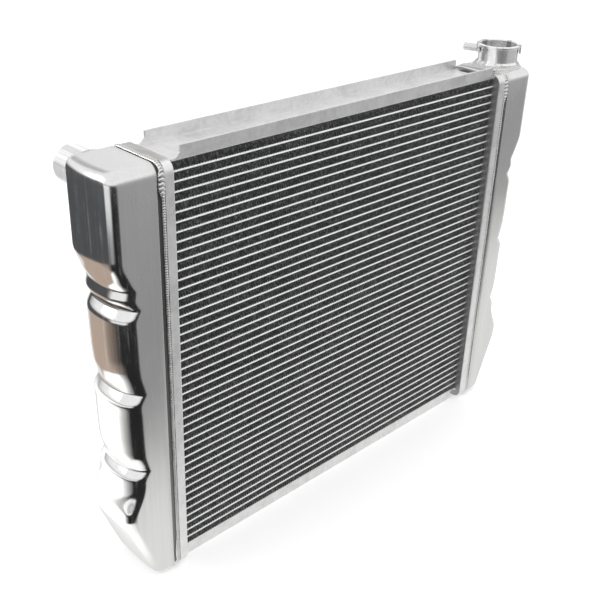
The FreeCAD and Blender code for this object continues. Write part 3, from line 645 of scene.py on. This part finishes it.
def inset_rows(inset):
    """Radius and the z and y rows of the outline moved inward; their counts are fixed."""
    half, top, low = HALF - inset, Z_TOP - inset, Z_LOW + inset
    radius = max(RING_R - inset, 1.0)
    centre, reach = (Z_TOP + Z_LOW) / 2, (top - low) / 2 - radius
    zs = [centre + (z - centre) * reach / ((Z_TOP - Z_LOW) / 2 - RING_R) for z in ROW_Z]
    ys = list(np.linspace(-(half - radius), half - radius, COLS))
    return radius, zs, ys


def ring_at(inset):
    """Points (y, z) of the outline moved inward."""
    radius, zs, ys = inset_rows(inset)
    points = outline(HALF - inset, Z_LOW + inset, Z_TOP - inset, radius,
                     (zs, ys, zs[::-1], ys[::-1]), ARC)
    return [point[:2] for point in points]


def side_face(verts, ring_start, inset, side, shape):
    """Fills the side face inside its boundary ring; adds to verts, returns faces."""
    parts, start = [], ring_start
    for size in (len(ROW_Z), len(ARC), COLS, len(ARC)) * 2:
        parts.append(list(range(start, start + size)))
        start += size
    front, front_top, top, rear_top, rear, rear_low, bottom, front_low = parts
    rear.reverse()
    bottom.reverse()
    _, zs, ys = inset_rows(inset)
    start = len(verts)
    verts += [(side * shape(y, z, inset), y, z) for z in zs for y in ys]
    grid = [[start + i * COLS + j for j in range(COLS)] for i in range(len(zs))]
    faces = []
    for i in range(len(zs) - 1):
        row, above = grid[i], grid[i + 1]
        for j in range(COLS - 1):
            faces.append((row[j], row[j + 1], above[j + 1], above[j]))
        faces.append((front[i], row[0], above[0], front[i + 1]))
        faces.append((row[-1], rear[i], rear[i + 1], above[-1]))
    for j in range(COLS - 1):
        faces.append((grid[-1][j], grid[-1][j + 1], top[j + 1], top[j]))
        faces.append((bottom[j], bottom[j + 1], grid[0][j + 1], grid[0][j]))
    for chain, hub in (([front[-1]] + front_top + [top[0]], grid[-1][0]),
                       ([top[-1]] + rear_top + [rear[-1]], grid[-1][-1]),
                       ([rear[0]] + rear_low + [bottom[-1]], grid[0][-1]),
                       ([bottom[0]] + front_low + [front[0]], grid[0][0])):
        faces += [(hub, after, before) for before, after in zip(chain, chain[1:])]
    return faces


def tank_mesh(name, side):
    """A stamped shell, open towards the core, with a recessed skirt at its mouth."""
    recess = WALL + 0.1         # skirt's outside, in from the tank's outline
    skirt_inside = WALL * 2 + 0.1
    shoulder_end = TANK_START + recess

    # each ring is (inset, rule, value); the rule says how its x is found
    outer = [(skirt_inside, "at", SKIRT_START), (recess, "at", SKIRT_START),
             (recess, "at", SKIRT_START + 6), (recess, "at", TANK_START - 0.05)]
    for degrees in (15, 30, 45, 60, 75, 90):
        angle = math.radians(degrees)
        outer.append((recess * (1 - math.sin(angle)), "at",
                      TANK_START + recess * (1 - math.cos(angle))))
    outer += [(0.0, "share", share) for share in (0.15, 0.4, 0.65, 0.85, 0.96)]
    outer += [(inset, "skin", 0) for inset in (
        0, 0.02, 0.10, 0.25, 0.5, 0.9, 1.5, 2.3, 3.3, 4.6, 6.2, 8.0, 10.0, 12.5, 15.0, 18.0)]
    inner = [(inset, "inner", 0) for inset in (20.0, 14.0, 10.0, 7.0, 4.6, 3.0, 2.3, 2.0)]
    inner += [(WALL, "inner share", 0.5), (WALL, "at", TANK_START + 4.5),
              (skirt_inside, "at", TANK_START + 2.2), (skirt_inside, "at", TANK_START - 6.0)]

    def ring_x(y, z, inset, rule, value):
        if rule == "at":
            return value
        if rule == "skin":
            return skin_x(y, z, inset)
        if rule == "inner":
            return inner_x(y, z, inset)
        full = skin_x(y, z, 0) if rule == "share" else inner_x(y, z, WALL)
        return shoulder_end + (full - shoulder_end) * value

    def rings(steps):
        return [(side * ring_x(y, z, *step), y, z)
                for step in steps for y, z in ring_at(step[0])]

    count = len(ring_at(0))
    verts = rings(outer)
    faces = grid_faces(len(outer), count, closed=False)
    faces += side_face(verts, (len(outer) - 1) * count, outer[-1][0], side, skin_x)
    inner_start = len(verts)
    verts += rings(inner)
    faces += grid_faces(len(inner), count, closed=False, base=inner_start)
    faces += side_face(verts, inner_start, inner[0][0], side, inner_x)
    # join the inner skin's last ring to the outer skin's first
    last = inner_start + (len(inner) - 1) * count
    for j in range(count):
        k = (j + 1) % count
        faces.append((j, k, last + k, last + j))
    return make_object(name, verts, faces)


def drill(obj, name, centre, axis, radius):
    """A round hole through obj's wall, cut now so that the mesh is final."""
    depth = 12
    bm = bmesh.new()
    bmesh.ops.create_cone(bm, cap_ends=True, segments=72, radius1=radius * MM,
                          radius2=radius * MM, depth=depth * MM)
    mesh = bpy.data.meshes.new(name)
    bm.to_mesh(mesh)
    bm.free()
    tool = bpy.data.objects.new(name, mesh)
    bpy.context.scene.collection.objects.link(tool)
    turn = Matrix.Rotation(math.radians(90 if axis == ALONG_Y else 0), 4, "X")
    tool.matrix_world = Matrix.Translation(Vector([part * MM for part in centre])) @ turn
    bpy.context.view_layer.update()
    cutter = obj.modifiers.new(name, "BOOLEAN")
    cutter.operation = "DIFFERENCE"
    cutter.solver = "EXACT"
    cutter.object = tool
    depsgraph = bpy.context.evaluated_depsgraph_get()
    cut = bpy.data.meshes.new_from_object(obj.evaluated_get(depsgraph))
    obj.modifiers.clear()
    whole = obj.data
    obj.data = cut
    bpy.data.meshes.remove(whole)
    bpy.data.objects.remove(tool)


def tanks():
    left = tank_mesh("tank_left_shell", -1)
    right = tank_mesh("tank_right_shell", 1)
    drill(right, "cut_filler", (FILLER[0], 0, Z_TOP), ALONG_Z, radius=18.0)
    drill(right, "cut_outlet", (OUTLET[0], HALF, OUTLET[2]), ALONG_Y, radius=21.9)
    drill(left, "cut_inlet", (INLET[0], HALF, INLET[2]), ALONG_Y, radius=18.7)
    drill(left, "cut_bung", (BUNG[0], HALF, BUNG[2]), ALONG_Y, radius=10.0)
    for shell, node in ((left, "tank_left"), (right, "tank_right")):
        shade(shell.data, TANK_SHARP)
        settle(shell, POLISHED, node)


tanks()


# -------------------------------------------------------------------- seam beads
def outline_path(step):
    """Rows (y, z, normal y, normal z) at even steps round the header, and their lengths."""
    near, low, high = HALF - RING_R, Z_LOW + RING_R, Z_TOP - RING_R
    fine = 0.25
    rows = (np.arange(low, high, fine), np.arange(-near, near, fine),
            np.arange(high, low, -fine), np.arange(near, -near, -fine))
    raw = np.array(outline(HALF, Z_LOW, Z_TOP, RING_R, rows, np.linspace(0, math.pi / 2, 60)))
    closed = np.vstack([raw, raw[:1]])
    gaps = np.hypot(np.diff(closed[:, 0]), np.diff(closed[:, 1]))
    lengths = np.concatenate([[0], np.cumsum(gaps)])
    total = lengths[-1]
    count = int(round(total / step))
    even = np.arange(count) * total / count
    y, z, out_y, out_z = (np.interp(even, lengths, closed[:, i]) for i in range(4))
    norm = np.hypot(out_y, out_z)
    return np.stack([y, z, out_y / norm, out_z / norm], 1), even, total


def seam_bead(name, side, node, seed):
    """Rippled bead all round, between the header's flange and the tank's skirt."""
    ripple_pitch = 2.6
    from_edge = 1.8         # bead's middle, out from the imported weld's inner edge
    underside = 1.95        # depth of the bead's flat underside
    path, lengths, total = outline_path(step=0.42)
    count = len(path)
    across = np.linspace(-1, 1, 11)
    low, high = box_mm(node)
    centre = side * (min(abs(low[0]), abs(high[0])) + from_edge)

    # where the bead swells: high on the front, at the front's foot, along the top
    front = path[:, 0] < -30
    pile = np.exp(-((path[:, 1] - 438) / 13.0) ** 4) * front
    foot = np.exp(-((path[:, 1] - 8) / 15.0) ** 2) * front
    along_top = np.clip((path[:, 3] - 0.5) / 0.4, 0, 1)

    # each is a plain value, a wobble, then the swellings
    wander = wobble(lengths, seed) * 0.35
    half_width = 1.85 + 0.22 * wobble(lengths, seed + 1) + 1.9 * pile + 1.1 * foot
    half_width = half_width + 0.85 * along_top
    shift = side * (1.4 * pile + 0.9 * foot + 0.9 * along_top)
    tall = 0.75 + 0.14 * wobble(lengths, seed + 2) + 0.95 * pile + 0.1 * foot
    deep = (0.54 + 0.12 * wobble(lengths, seed + 3, ((63.0, 0.6), (29.0, 0.4)))
            + 0.75 * pile - 0.2 * foot)

    # ripples are wider in the pile; a whole number closes the loop
    turns = np.cumsum(1 - 0.43 * pile) * (total / count) / ripple_pitch
    turns *= round(turns[-1]) / turns[-1]
    slip = 0.10 * wobble(lengths, seed + 4)

    verts = []
    for i in range(count):
        y, z, out_y, out_z = path[i]
        middle_x = centre + shift[i]
        for v in across:
            dome = math.sqrt(max(0.0, 1 - v * v))
            wave = float(ripple(turns[i] + slip[i] + 0.55 * v * v)) - 0.5
            height = -1.0 + dome * (tall[i] + 0.9) + wave * deep[i] * dome ** 0.7
            width = half_width[i] * (1 + 0.07 * wave)
            verts.append((middle_x + wander[i] * 0.5 + v * width,
                          y + out_y * height, z + out_z * height))
        for end in (0.85, -0.85):
            verts.append((middle_x + half_width[i] * end,
                          y - out_y * underside, z - out_z * underside))
    obj = make_object(name, verts, grid_faces(count, len(across) + 2))
    settle(obj, WELD, node)


seam_bead("seam_bead_left", -1, "seam_weld_left", seed=11)
seam_bead("seam_bead_right", 1, "seam_weld_right", seed=23)


# -------------------------------------------------------------------- ring beads
def top_surface(x, y):
    """Height of the tank's top, with its rounded edges."""
    return Z_TOP - (rounding(abs(x) - (end_x(Z_TOP, y) - EDGE_R), EDGE_R)
                    + rounding(abs(y) - (HALF - RING_R), RING_R))


def rear_surface(x, z):
    """Y of the tank's rear, with its rounded edges."""
    return HALF - (rounding(abs(x) - (end_x(z, HALF) - EDGE_R), EDGE_R)
                   + rounding(z - (Z_TOP - RING_R), RING_R))


def ring_bead(name, node, centre, axis, inner_radius, leg, seed):
    """Rippled fillet between a turned collar and the tank, resting on the tank."""
    ripple_pitch, per_ripple = 2.5, 7
    gap, sunk = 0.02, 0.25          # off the collar and tank; underside below the tank
    around = 2 * math.pi * (inner_radius + leg / 2)
    count = int(round(around / ripple_pitch)) * per_ripple
    across = np.linspace(0, 1, 9)   # 0 at the collar's wall, 1 on the tank
    seat = Z_TOP if axis == ALONG_Z else HALF
    verts = []
    for i in range(count):
        turn = 2 * math.pi * i / count
        cosine, sine = math.cos(turn), math.sin(turn)
        wave = float(wobble(around * i / count, seed,
                            ((around / 3, 0.5), (around / 7, 0.3))))
        width = leg * (1.0 + 0.10 * wave)
        rise = leg * (0.86 + 0.10 * wave)

        def ground(radius):
            if axis == ALONG_Z:
                return top_surface(centre[0] + radius * cosine, centre[1] + radius * sine)
            return rear_surface(centre[0] + radius * cosine, centre[2] + radius * sine)

        low = ground(inner_radius + width)
        ring = []
        for t in across:
            angle = t * math.pi / 2
            bulge = 1.0 + 0.16 * math.sin(2 * angle)
            crest = float(ripple(i / per_ripple + 0.5 * (2 * t - 1) ** 2)) - 0.5
            lift = 0.30 * math.sin(math.pi * t) * crest
            radius = (inner_radius + gap + width * (1 - math.cos(angle)) ** 0.85
                      + lift * math.sin(angle))
            height = low + (seat + rise - low) * math.cos(angle) ** 0.9 * bulge + lift
            height = min(height, seat + rise + abs(lift))
            ring.append((radius, max(height, ground(max(radius, inner_radius)) + gap)))
        under = inner_radius + width * 0.7
        ring.append((under, ground(under) - sunk))
        ring.append((inner_radius + gap, ground(inner_radius) - sunk))
        for radius, height in ring:
            if axis == ALONG_Z:
                verts.append((centre[0] + radius * cosine, centre[1] + radius * sine, height))
            else:
                verts.append((centre[0] + radius * cosine, height, centre[2] + radius * sine))
    obj = make_object(name, verts, grid_faces(count, len(across) + 2))
    settle(obj, WELD, node)


ring_bead("filler_ring_bead", "filler_neck_weld", FILLER, ALONG_Z,
          inner_radius=27.2, leg=3.3, seed=31)
ring_bead("inlet_ring_bead", "inlet_neck_weld", INLET, ALONG_Y,
          inner_radius=20.3, leg=3.3, seed=37)
ring_bead("outlet_ring_bead", "outlet_neck_weld", OUTLET, ALONG_Y,
          inner_radius=23.5, leg=3.3, seed=41)
ring_bead("bung_ring_bead", "drain_bung_weld", BUNG, ALONG_Y,
          inner_radius=12.0, leg=2.4, seed=43)


# ------------------------------------------------------------- channel end welds
def channel_spots():
    """(side along X, side along Y, wall y, lower z, upper z) of the eight beads."""
    clear = 0.05
    top_low, top_high = box_mm("top_channel")
    foot_low, foot_high = box_mm("bottom_channel")
    spots = []
    for side in (1, -1):
        for facing in (-1, 1):
            is_front = facing == -1
            wall = top_high[1] - (1.0 if is_front else 0.0) + clear
            # only the right front bead runs nearly the channel's full height
            high = top_high[2] - 2.0 if side == 1 and is_front else top_low[2] + 2.7
            spots.append((side, facing, wall, top_low[2] + 0.1, high))
            low = foot_low[2] + 2.0 if side == -1 else foot_high[2] - 3.0
            spots.append((side, facing, foot_high[1] + clear, low, foot_high[2] - 0.1))
    return spots


def channel_beads():
    """Short rippled beads in the upright corners between channel sides and headers."""
    corner = header_low[0] - 0.05
    leg = 2.75
    across = 9
    cols = across + 1
    verts, faces = [], []
    for index, (side, facing, wall, low, high) in enumerate(channel_spots()):
        base = len(verts)
        count = max(13, int((high - low) / 0.22))
        skew = np.random.RandomState(70 + index).uniform(-0.6, 0.6)
        for i in range(count):
            u = -1 + 2 * i / (count - 1)
            swell = max(0.06, math.sqrt(max(0.0, 1 - abs(u) ** 5)))
            z = (low + high) / 2 + u * (high - low) / 2
            for j in range(across):
                t = j / (across - 1)
                angle = t * math.pi / 2
                wave = float(ripple(z / 2.4 + 0.45 * (2 * t - 1) ** 2 + skew)) - 0.5
                radius = (leg * swell * (0.88 + 0.18 * wave)
                          * (0.80 + 0.20 * abs(math.cos(2 * angle))))
                verts.append((side * (corner - radius * math.sin(angle)),
                              facing * (wall + radius * math.cos(angle)), z))
            verts.append((side * corner, facing * wall, z))
        faces += grid_faces(count, cols, closed=False, base=base)
        faces.append(tuple(base + j for j in range(cols))[::-1])
        faces.append(tuple(base + (count - 1) * cols + j for j in range(cols)))
    obj = make_object("channel_end_beads", verts, faces, sharp=60)
    settle(obj, WELD, "channel_welds")


channel_beads()

# --------------------------------------------------------------------- core fins
STRIP_PITCH, FIRST_STRIP = 10.0, 6.0    # spacing and first height of the strips' middles
STRIP_HEIGHT = 7.9
FOLD = 1.62                             # nominal width of one fold
FIN_SHEET = 0.11


def fold_line(half_x, folds, fold):
    """Zigzag (x, z) centre line of one strip, with a flattened bend at each crest."""
    crest = STRIP_HEIGHT / 2
    tip, bend = crest - 0.06, crest - fold * 0.42
    points = []
    for i in range(folds):
        x = -half_x + i * fold
        up = 1 if i % 2 else -1
        points += [(x + 0.02, up * tip), (x + fold * 0.30, up * bend),
                   (x + fold * 0.70, -up * bend)]
    points.append((half_x - 0.02, -tip))
    return np.array(points)


def fin_strip(line, half_y):
    """Vertices and quads of one strip: the line thickened and drawn out along Y."""
    slope = np.gradient(line, axis=0)
    slope /= np.hypot(slope[:, 0], slope[:, 1])[:, None]
    normal = np.stack([-slope[:, 1], slope[:, 0]], 1)
    ring = np.vstack([line + normal * FIN_SHEET / 2, (line - normal * FIN_SHEET / 2)[::-1]])
    size = len(ring)
    verts = np.vstack([np.column_stack([ring[:, 0], np.full(size, y), ring[:, 1]])
                       for y in (-half_y, half_y)])
    faces = []
    for i in range(size):
        j = (i + 1) % size
        faces.append((i, j, size + j, size + i))
    for i in range(len(line) - 1):
        j, k = size - 1 - i, size - 2 - i
        faces.append((i, j, k, i + 1))
        faces.append((size + i, size + i + 1, size + k, size + j))
    return verts, np.array(faces)


def fins():
    """Corrugated strips between the tubes, each shifted and leaning differently."""
    low, high = box_mm("core_fins")
    half_x, half_y = high[0], high[1]
    strips = int(round((high[2] - low[2] - STRIP_HEIGHT) / STRIP_PITCH)) + 1
    folds = int(round(2 * half_x / FOLD))
    folds += folds % 2
    fold = 2 * half_x / folds
    strip_verts, strip_faces = fin_strip(fold_line(half_x, folds, fold), half_y)
    rng = np.random.RandomState(5)
    all_verts, all_faces = [], []
    for i in range(strips):
        verts = strip_verts.copy()
        x = verts[:, 0]
        shift = (rng.rand() - 0.5) * fold * 0.9
        taper = np.clip((half_x - np.abs(x)) / 6.0, 0, 1)   # ends stay in place
        x += shift * taper
        x += taper * 0.22 * np.sin(x * 0.37 + i * 1.7) * np.sin(x * 0.113 + i)
        verts[:, 2] += FIRST_STRIP + STRIP_PITCH * i
        all_verts.append(verts)
        all_faces.append(strip_faces + i * len(strip_verts))
    verts, faces = np.vstack(all_verts), np.vstack(all_faces)

    # bulk loading, as the strips have very many faces
    mesh = bpy.data.meshes.new("core_fin_strips")
    mesh.vertices.add(len(verts))
    mesh.vertices.foreach_set("co", (verts * MM).astype(np.float32).ravel())
    mesh.loops.add(faces.size)
    mesh.loops.foreach_set("vertex_index", faces.astype(np.int32).ravel())
    mesh.polygons.add(len(faces))
    mesh.polygons.foreach_set("loop_start", np.arange(0, faces.size, 4, dtype=np.int32))
    mesh.polygons.foreach_set("loop_total", np.full(len(faces), 4, dtype=np.int32))
    mesh.update(calc_edges=True)
    obj = bpy.data.objects.new("core_fin_strips", mesh)
    bpy.context.scene.collection.objects.link(obj)
    settle(obj, FIN, "core_fins")


fins()

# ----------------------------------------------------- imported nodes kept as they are
KEPT = {
    "core_tubes_front": TUBE, "core_tubes_rear": TUBE,
    "header_left": HEADER_METAL, "header_right": HEADER_METAL,
    "top_channel": CHANNEL_METAL, "bottom_channel": CHANNEL_METAL,
    "filler_neck": TURNED_FILLER, "overflow_nipple": TURNED_NIPPLE,
    "inlet_neck": TURNED_INLET, "outlet_neck": TURNED_OUTLET,
    "drain_bung": TURNED_BUNG, "drain_cock_body": BRASS,
    "drain_cock_stem": BRASS, "drain_cock_seal": RUBBER,
}
for node_name, node_material in KEPT.items():
    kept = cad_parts[node_name]
    kept.data.materials.clear()
    kept.data.materials.append(node_material)
    for polygon in kept.data.polygons:
        polygon.material_index = 0

# ------------------------------------------------------------------------ studio
scene = bpy.context.scene
scene.view_settings.view_transform = "Standard"
scene.view_settings.look = "None"
scene.view_settings.exposure = 0.0
scene.view_settings.gamma = 1.0


def studio_world():
    """Plain white, except that glossy rays see a graded room."""
    world = bpy.data.worlds.new("studio")
    scene.world = world
    world.use_nodes = True
    sky = Graph(world.node_tree, "Generated")
    # dark below the horizon, bright above it
    height = sky.span(sky.xyz()[2], over=(-1.0, 1.0))
    room = sky.ramp(height, [(0.0, 0.05), (0.46, 0.06), (0.52, 0.60), (0.58, 0.95),
                             (0.70, 0.92), (0.80, 0.88), (1.0, 0.90)])
    # a grey panel high behind the object
    panel_direction = Vector((0.15, 0.80, 0.57)).normalized()
    aim = sky.node("VectorMath", {0: sky.coord, 1: panel_direction},
                   operation="DOT_PRODUCT").outputs["Value"]
    strength = sky.fade(aim, over=(0.930, 0.985), to=(1.0, 0.55))
    reflected = sky.node("Background", {0: room, 1: strength})
    plain_white = sky.node("Background", {0: rgba(1.0), 1: 1.0})
    glossy = sky.node("LightPath").outputs["Is Glossy Ray"]
    mixed = sky.node("MixShader", {0: glossy, 1: plain_white.outputs[0],
                                   2: reflected.outputs[0]})
    sky.node("OutputWorld", {0: mixed.outputs[0]})


def floor_material():
    """White sheet. Glossy rays see its emission instead, a painted reflection of the studio:
    beyond the sheet's edges the room is dark.
    """
    mat = Material("white_sheet")
    x, y, _ = mat.xyz()
    path = mat.node("LightPath")
    # polar about the object's left front corner: angle 0 is left, positive to the rear
    leftward = mat.times(mat.add(x, 0.300), -1.0)
    rearward = mat.add(y, 0.038)
    angle = mat.math("ARCTAN2", rearward, leftward)
    reach = mat.distance(leftward, rearward)

    # painted reflection beside the object on the left: white sheet, then brown, then the dark
    # room
    beside = mat.times(mat.fade(y, over=(-0.16, -0.04)),
                       mat.fade(x, over=(-0.325, -0.285), to=(1.0, 0.0)))
    beyond = mat.times(mat.fade(reach, over=(0.315, 0.345)), beside)
    # only what stands high above the sheet sees past its edge
    start_height = mat.times(mat.xyz(mat.geometry("Incoming"))[2],
                             path.outputs["Ray Length"])
    beyond = mat.times(beyond, mat.fade(start_height, over=(0.228, 0.245)))
    room = mat.mix(mat.fade(reach, over=(0.64, 0.76)),
                   (0.50, 0.395, 0.325), (0.082, 0.084, 0.088))
    corner = mat.times(mat.fade(reach, over=(0.70, 0.80)),
                       mat.fade(angle, over=(0.30, 0.60), to=(1.0, 0.0)))
    room = mat.mix(corner, room, 0.13)
    colour = mat.mix(beside, (0.80, 0.80, 0.79), (1.22, 1.22, 1.20))
    colour = mat.mix(beyond, colour, room)

    # in front, past a slanting soft edge, the painted reflection of the sheet is shaded
    edge = mat.minus(-0.230, mat.times(mat.add(x, 0.158), 0.188))
    softness = mat.span(x, over=(-0.30, 0.30), to=(0.110, 0.022))
    front = mat.fade(mat.math("DIVIDE", mat.minus(y, edge), softness),
                     over=(-1.0, 1.0), to=(1.0, 0.0))
    shaded = mat.span(mat.minus(edge, y), over=(0.0, 0.8), to=(0.27, 0.34))
    colour = mat.mix(front, colour, mat.grey(shaded))

    # painted reflection of a black flag at the left front; its bounding angles change with the
    # reach
    high = mat.minus(mat.fade(reach, over=(0.34, 0.42), to=(0.50, 0.86)),
                     mat.fade(reach, over=(0.66, 0.80), to=(0.0, 1.28)))
    low = mat.minus(mat.fade(reach, over=(0.34, 0.42), to=(-0.22, 0.08)),
                    mat.fade(reach, over=(0.66, 0.80), to=(0.0, 0.86)))
    rise = mat.math("DIVIDE", mat.minus(high, angle), mat.minus(high, low), clamp=True)
    painted_flag = mat.times(mat.fade(angle, over=(-1.90, -1.78)), mat.math("POWER", rise, 0.55),
                     mat.fade(reach, over=(0.100, 0.122)))
    colour = mat.mix(painted_flag, colour, 0.020)

    # painted reflection of a white card far off at the left
    card_angles = mat.times(mat.fade(angle, over=(-0.75, -0.40)),
                            mat.fade(angle, over=(0.25, 0.55), to=(1.0, 0.0)))
    painted_card = mat.times(mat.fade(reach, over=(0.88, 1.16)), card_angles)
    colour = mat.mix(painted_card, colour, 0.92)

    # glossy rays see the painted reflection as emission
    reflected = mat.node("Emission", {"Color": colour, "Strength": 1.0})
    sheet = mat.node("BsdfDiffuse", {"Color": rgba(0.86)})
    lift = mat.node("Emission", {"Color": rgba(1.0), "Strength": 0.24})
    seen = mat.node("AddShader", {0: sheet.outputs[0], 1: lift.outputs[0]})
    mixed = mat.node("MixShader", {0: path.outputs["Is Glossy Ray"],
                                   1: seen.outputs[0], 2: reflected.outputs[0]})
    return mat.output(mixed.outputs[0])


def add_floor():
    half = 8
    mesh = bpy.data.meshes.new("floor")
    mesh.from_pydata([(-half, -half, 0), (half, -half, 0), (half, half, 0), (-half, half, 0)],
                     [], [(0, 1, 2, 3)])
    floor = bpy.data.objects.new("floor", mesh)
    floor.location = (0, 0, (Z_LOW - 0.05) * MM)
    scene.collection.objects.link(floor)
    mesh.materials.append(floor_material())
    floor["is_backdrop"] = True


def softbox(name, place, aim, size, power, glossy=True):
    light = bpy.data.lights.new(name, "AREA")
    light.shape = "RECTANGLE"
    light.size, light.size_y = size
    light.energy = power
    obj = bpy.data.objects.new(name, light)
    obj.location = place
    direction = Vector(aim) - Vector(place)
    obj.rotation_euler = direction.to_track_quat("-Z", "Y").to_euler()
    scene.collection.objects.link(obj)
    obj.visible_glossy = glossy


def add_camera():
    """Looks from the left front, down on the object and slightly rolled."""
    azimuth, elevation, roll = (math.radians(angle) for angle in (-44.51, 27.70, 1.86))
    back = Vector((math.sin(azimuth) * math.cos(elevation),
                   -math.cos(azimuth) * math.cos(elevation), math.sin(elevation)))
    right = Vector((0, 0, 1)).cross(back).normalized()
    up = back.cross(right)
    rolled_right = right * math.cos(roll) + up * math.sin(roll)
    rolled_up = -right * math.sin(roll) + up * math.cos(roll)
    data = bpy.data.cameras.new("camera")
    data.sensor_width = 36.0
    data.lens = 55.17
    data.clip_start = 0.05
    data.clip_end = 50.0
    camera = bpy.data.objects.new("camera", data)
    matrix = Matrix((rolled_right, rolled_up, back)).transposed().to_4x4()
    matrix.translation = Vector((-0.70518, -0.66980, 0.72695))
    camera.matrix_world = matrix
    scene.collection.objects.link(camera)
    scene.camera = camera


studio_world()
add_floor()
softbox("top_box", place=(0.2, 0.1, 1.9), aim=(0, 0, 0.2), size=(1.6, 1.2), power=14,
        glossy=False)
softbox("left_box", place=(-1.7, 0.9, 1.1), aim=(-0.2, 0, 0.2), size=(0.9, 0.9), power=7)
add_camera()

# --------------------------------------------------------------------- finishing
{"cad": size_cad, "visual": plain(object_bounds())}
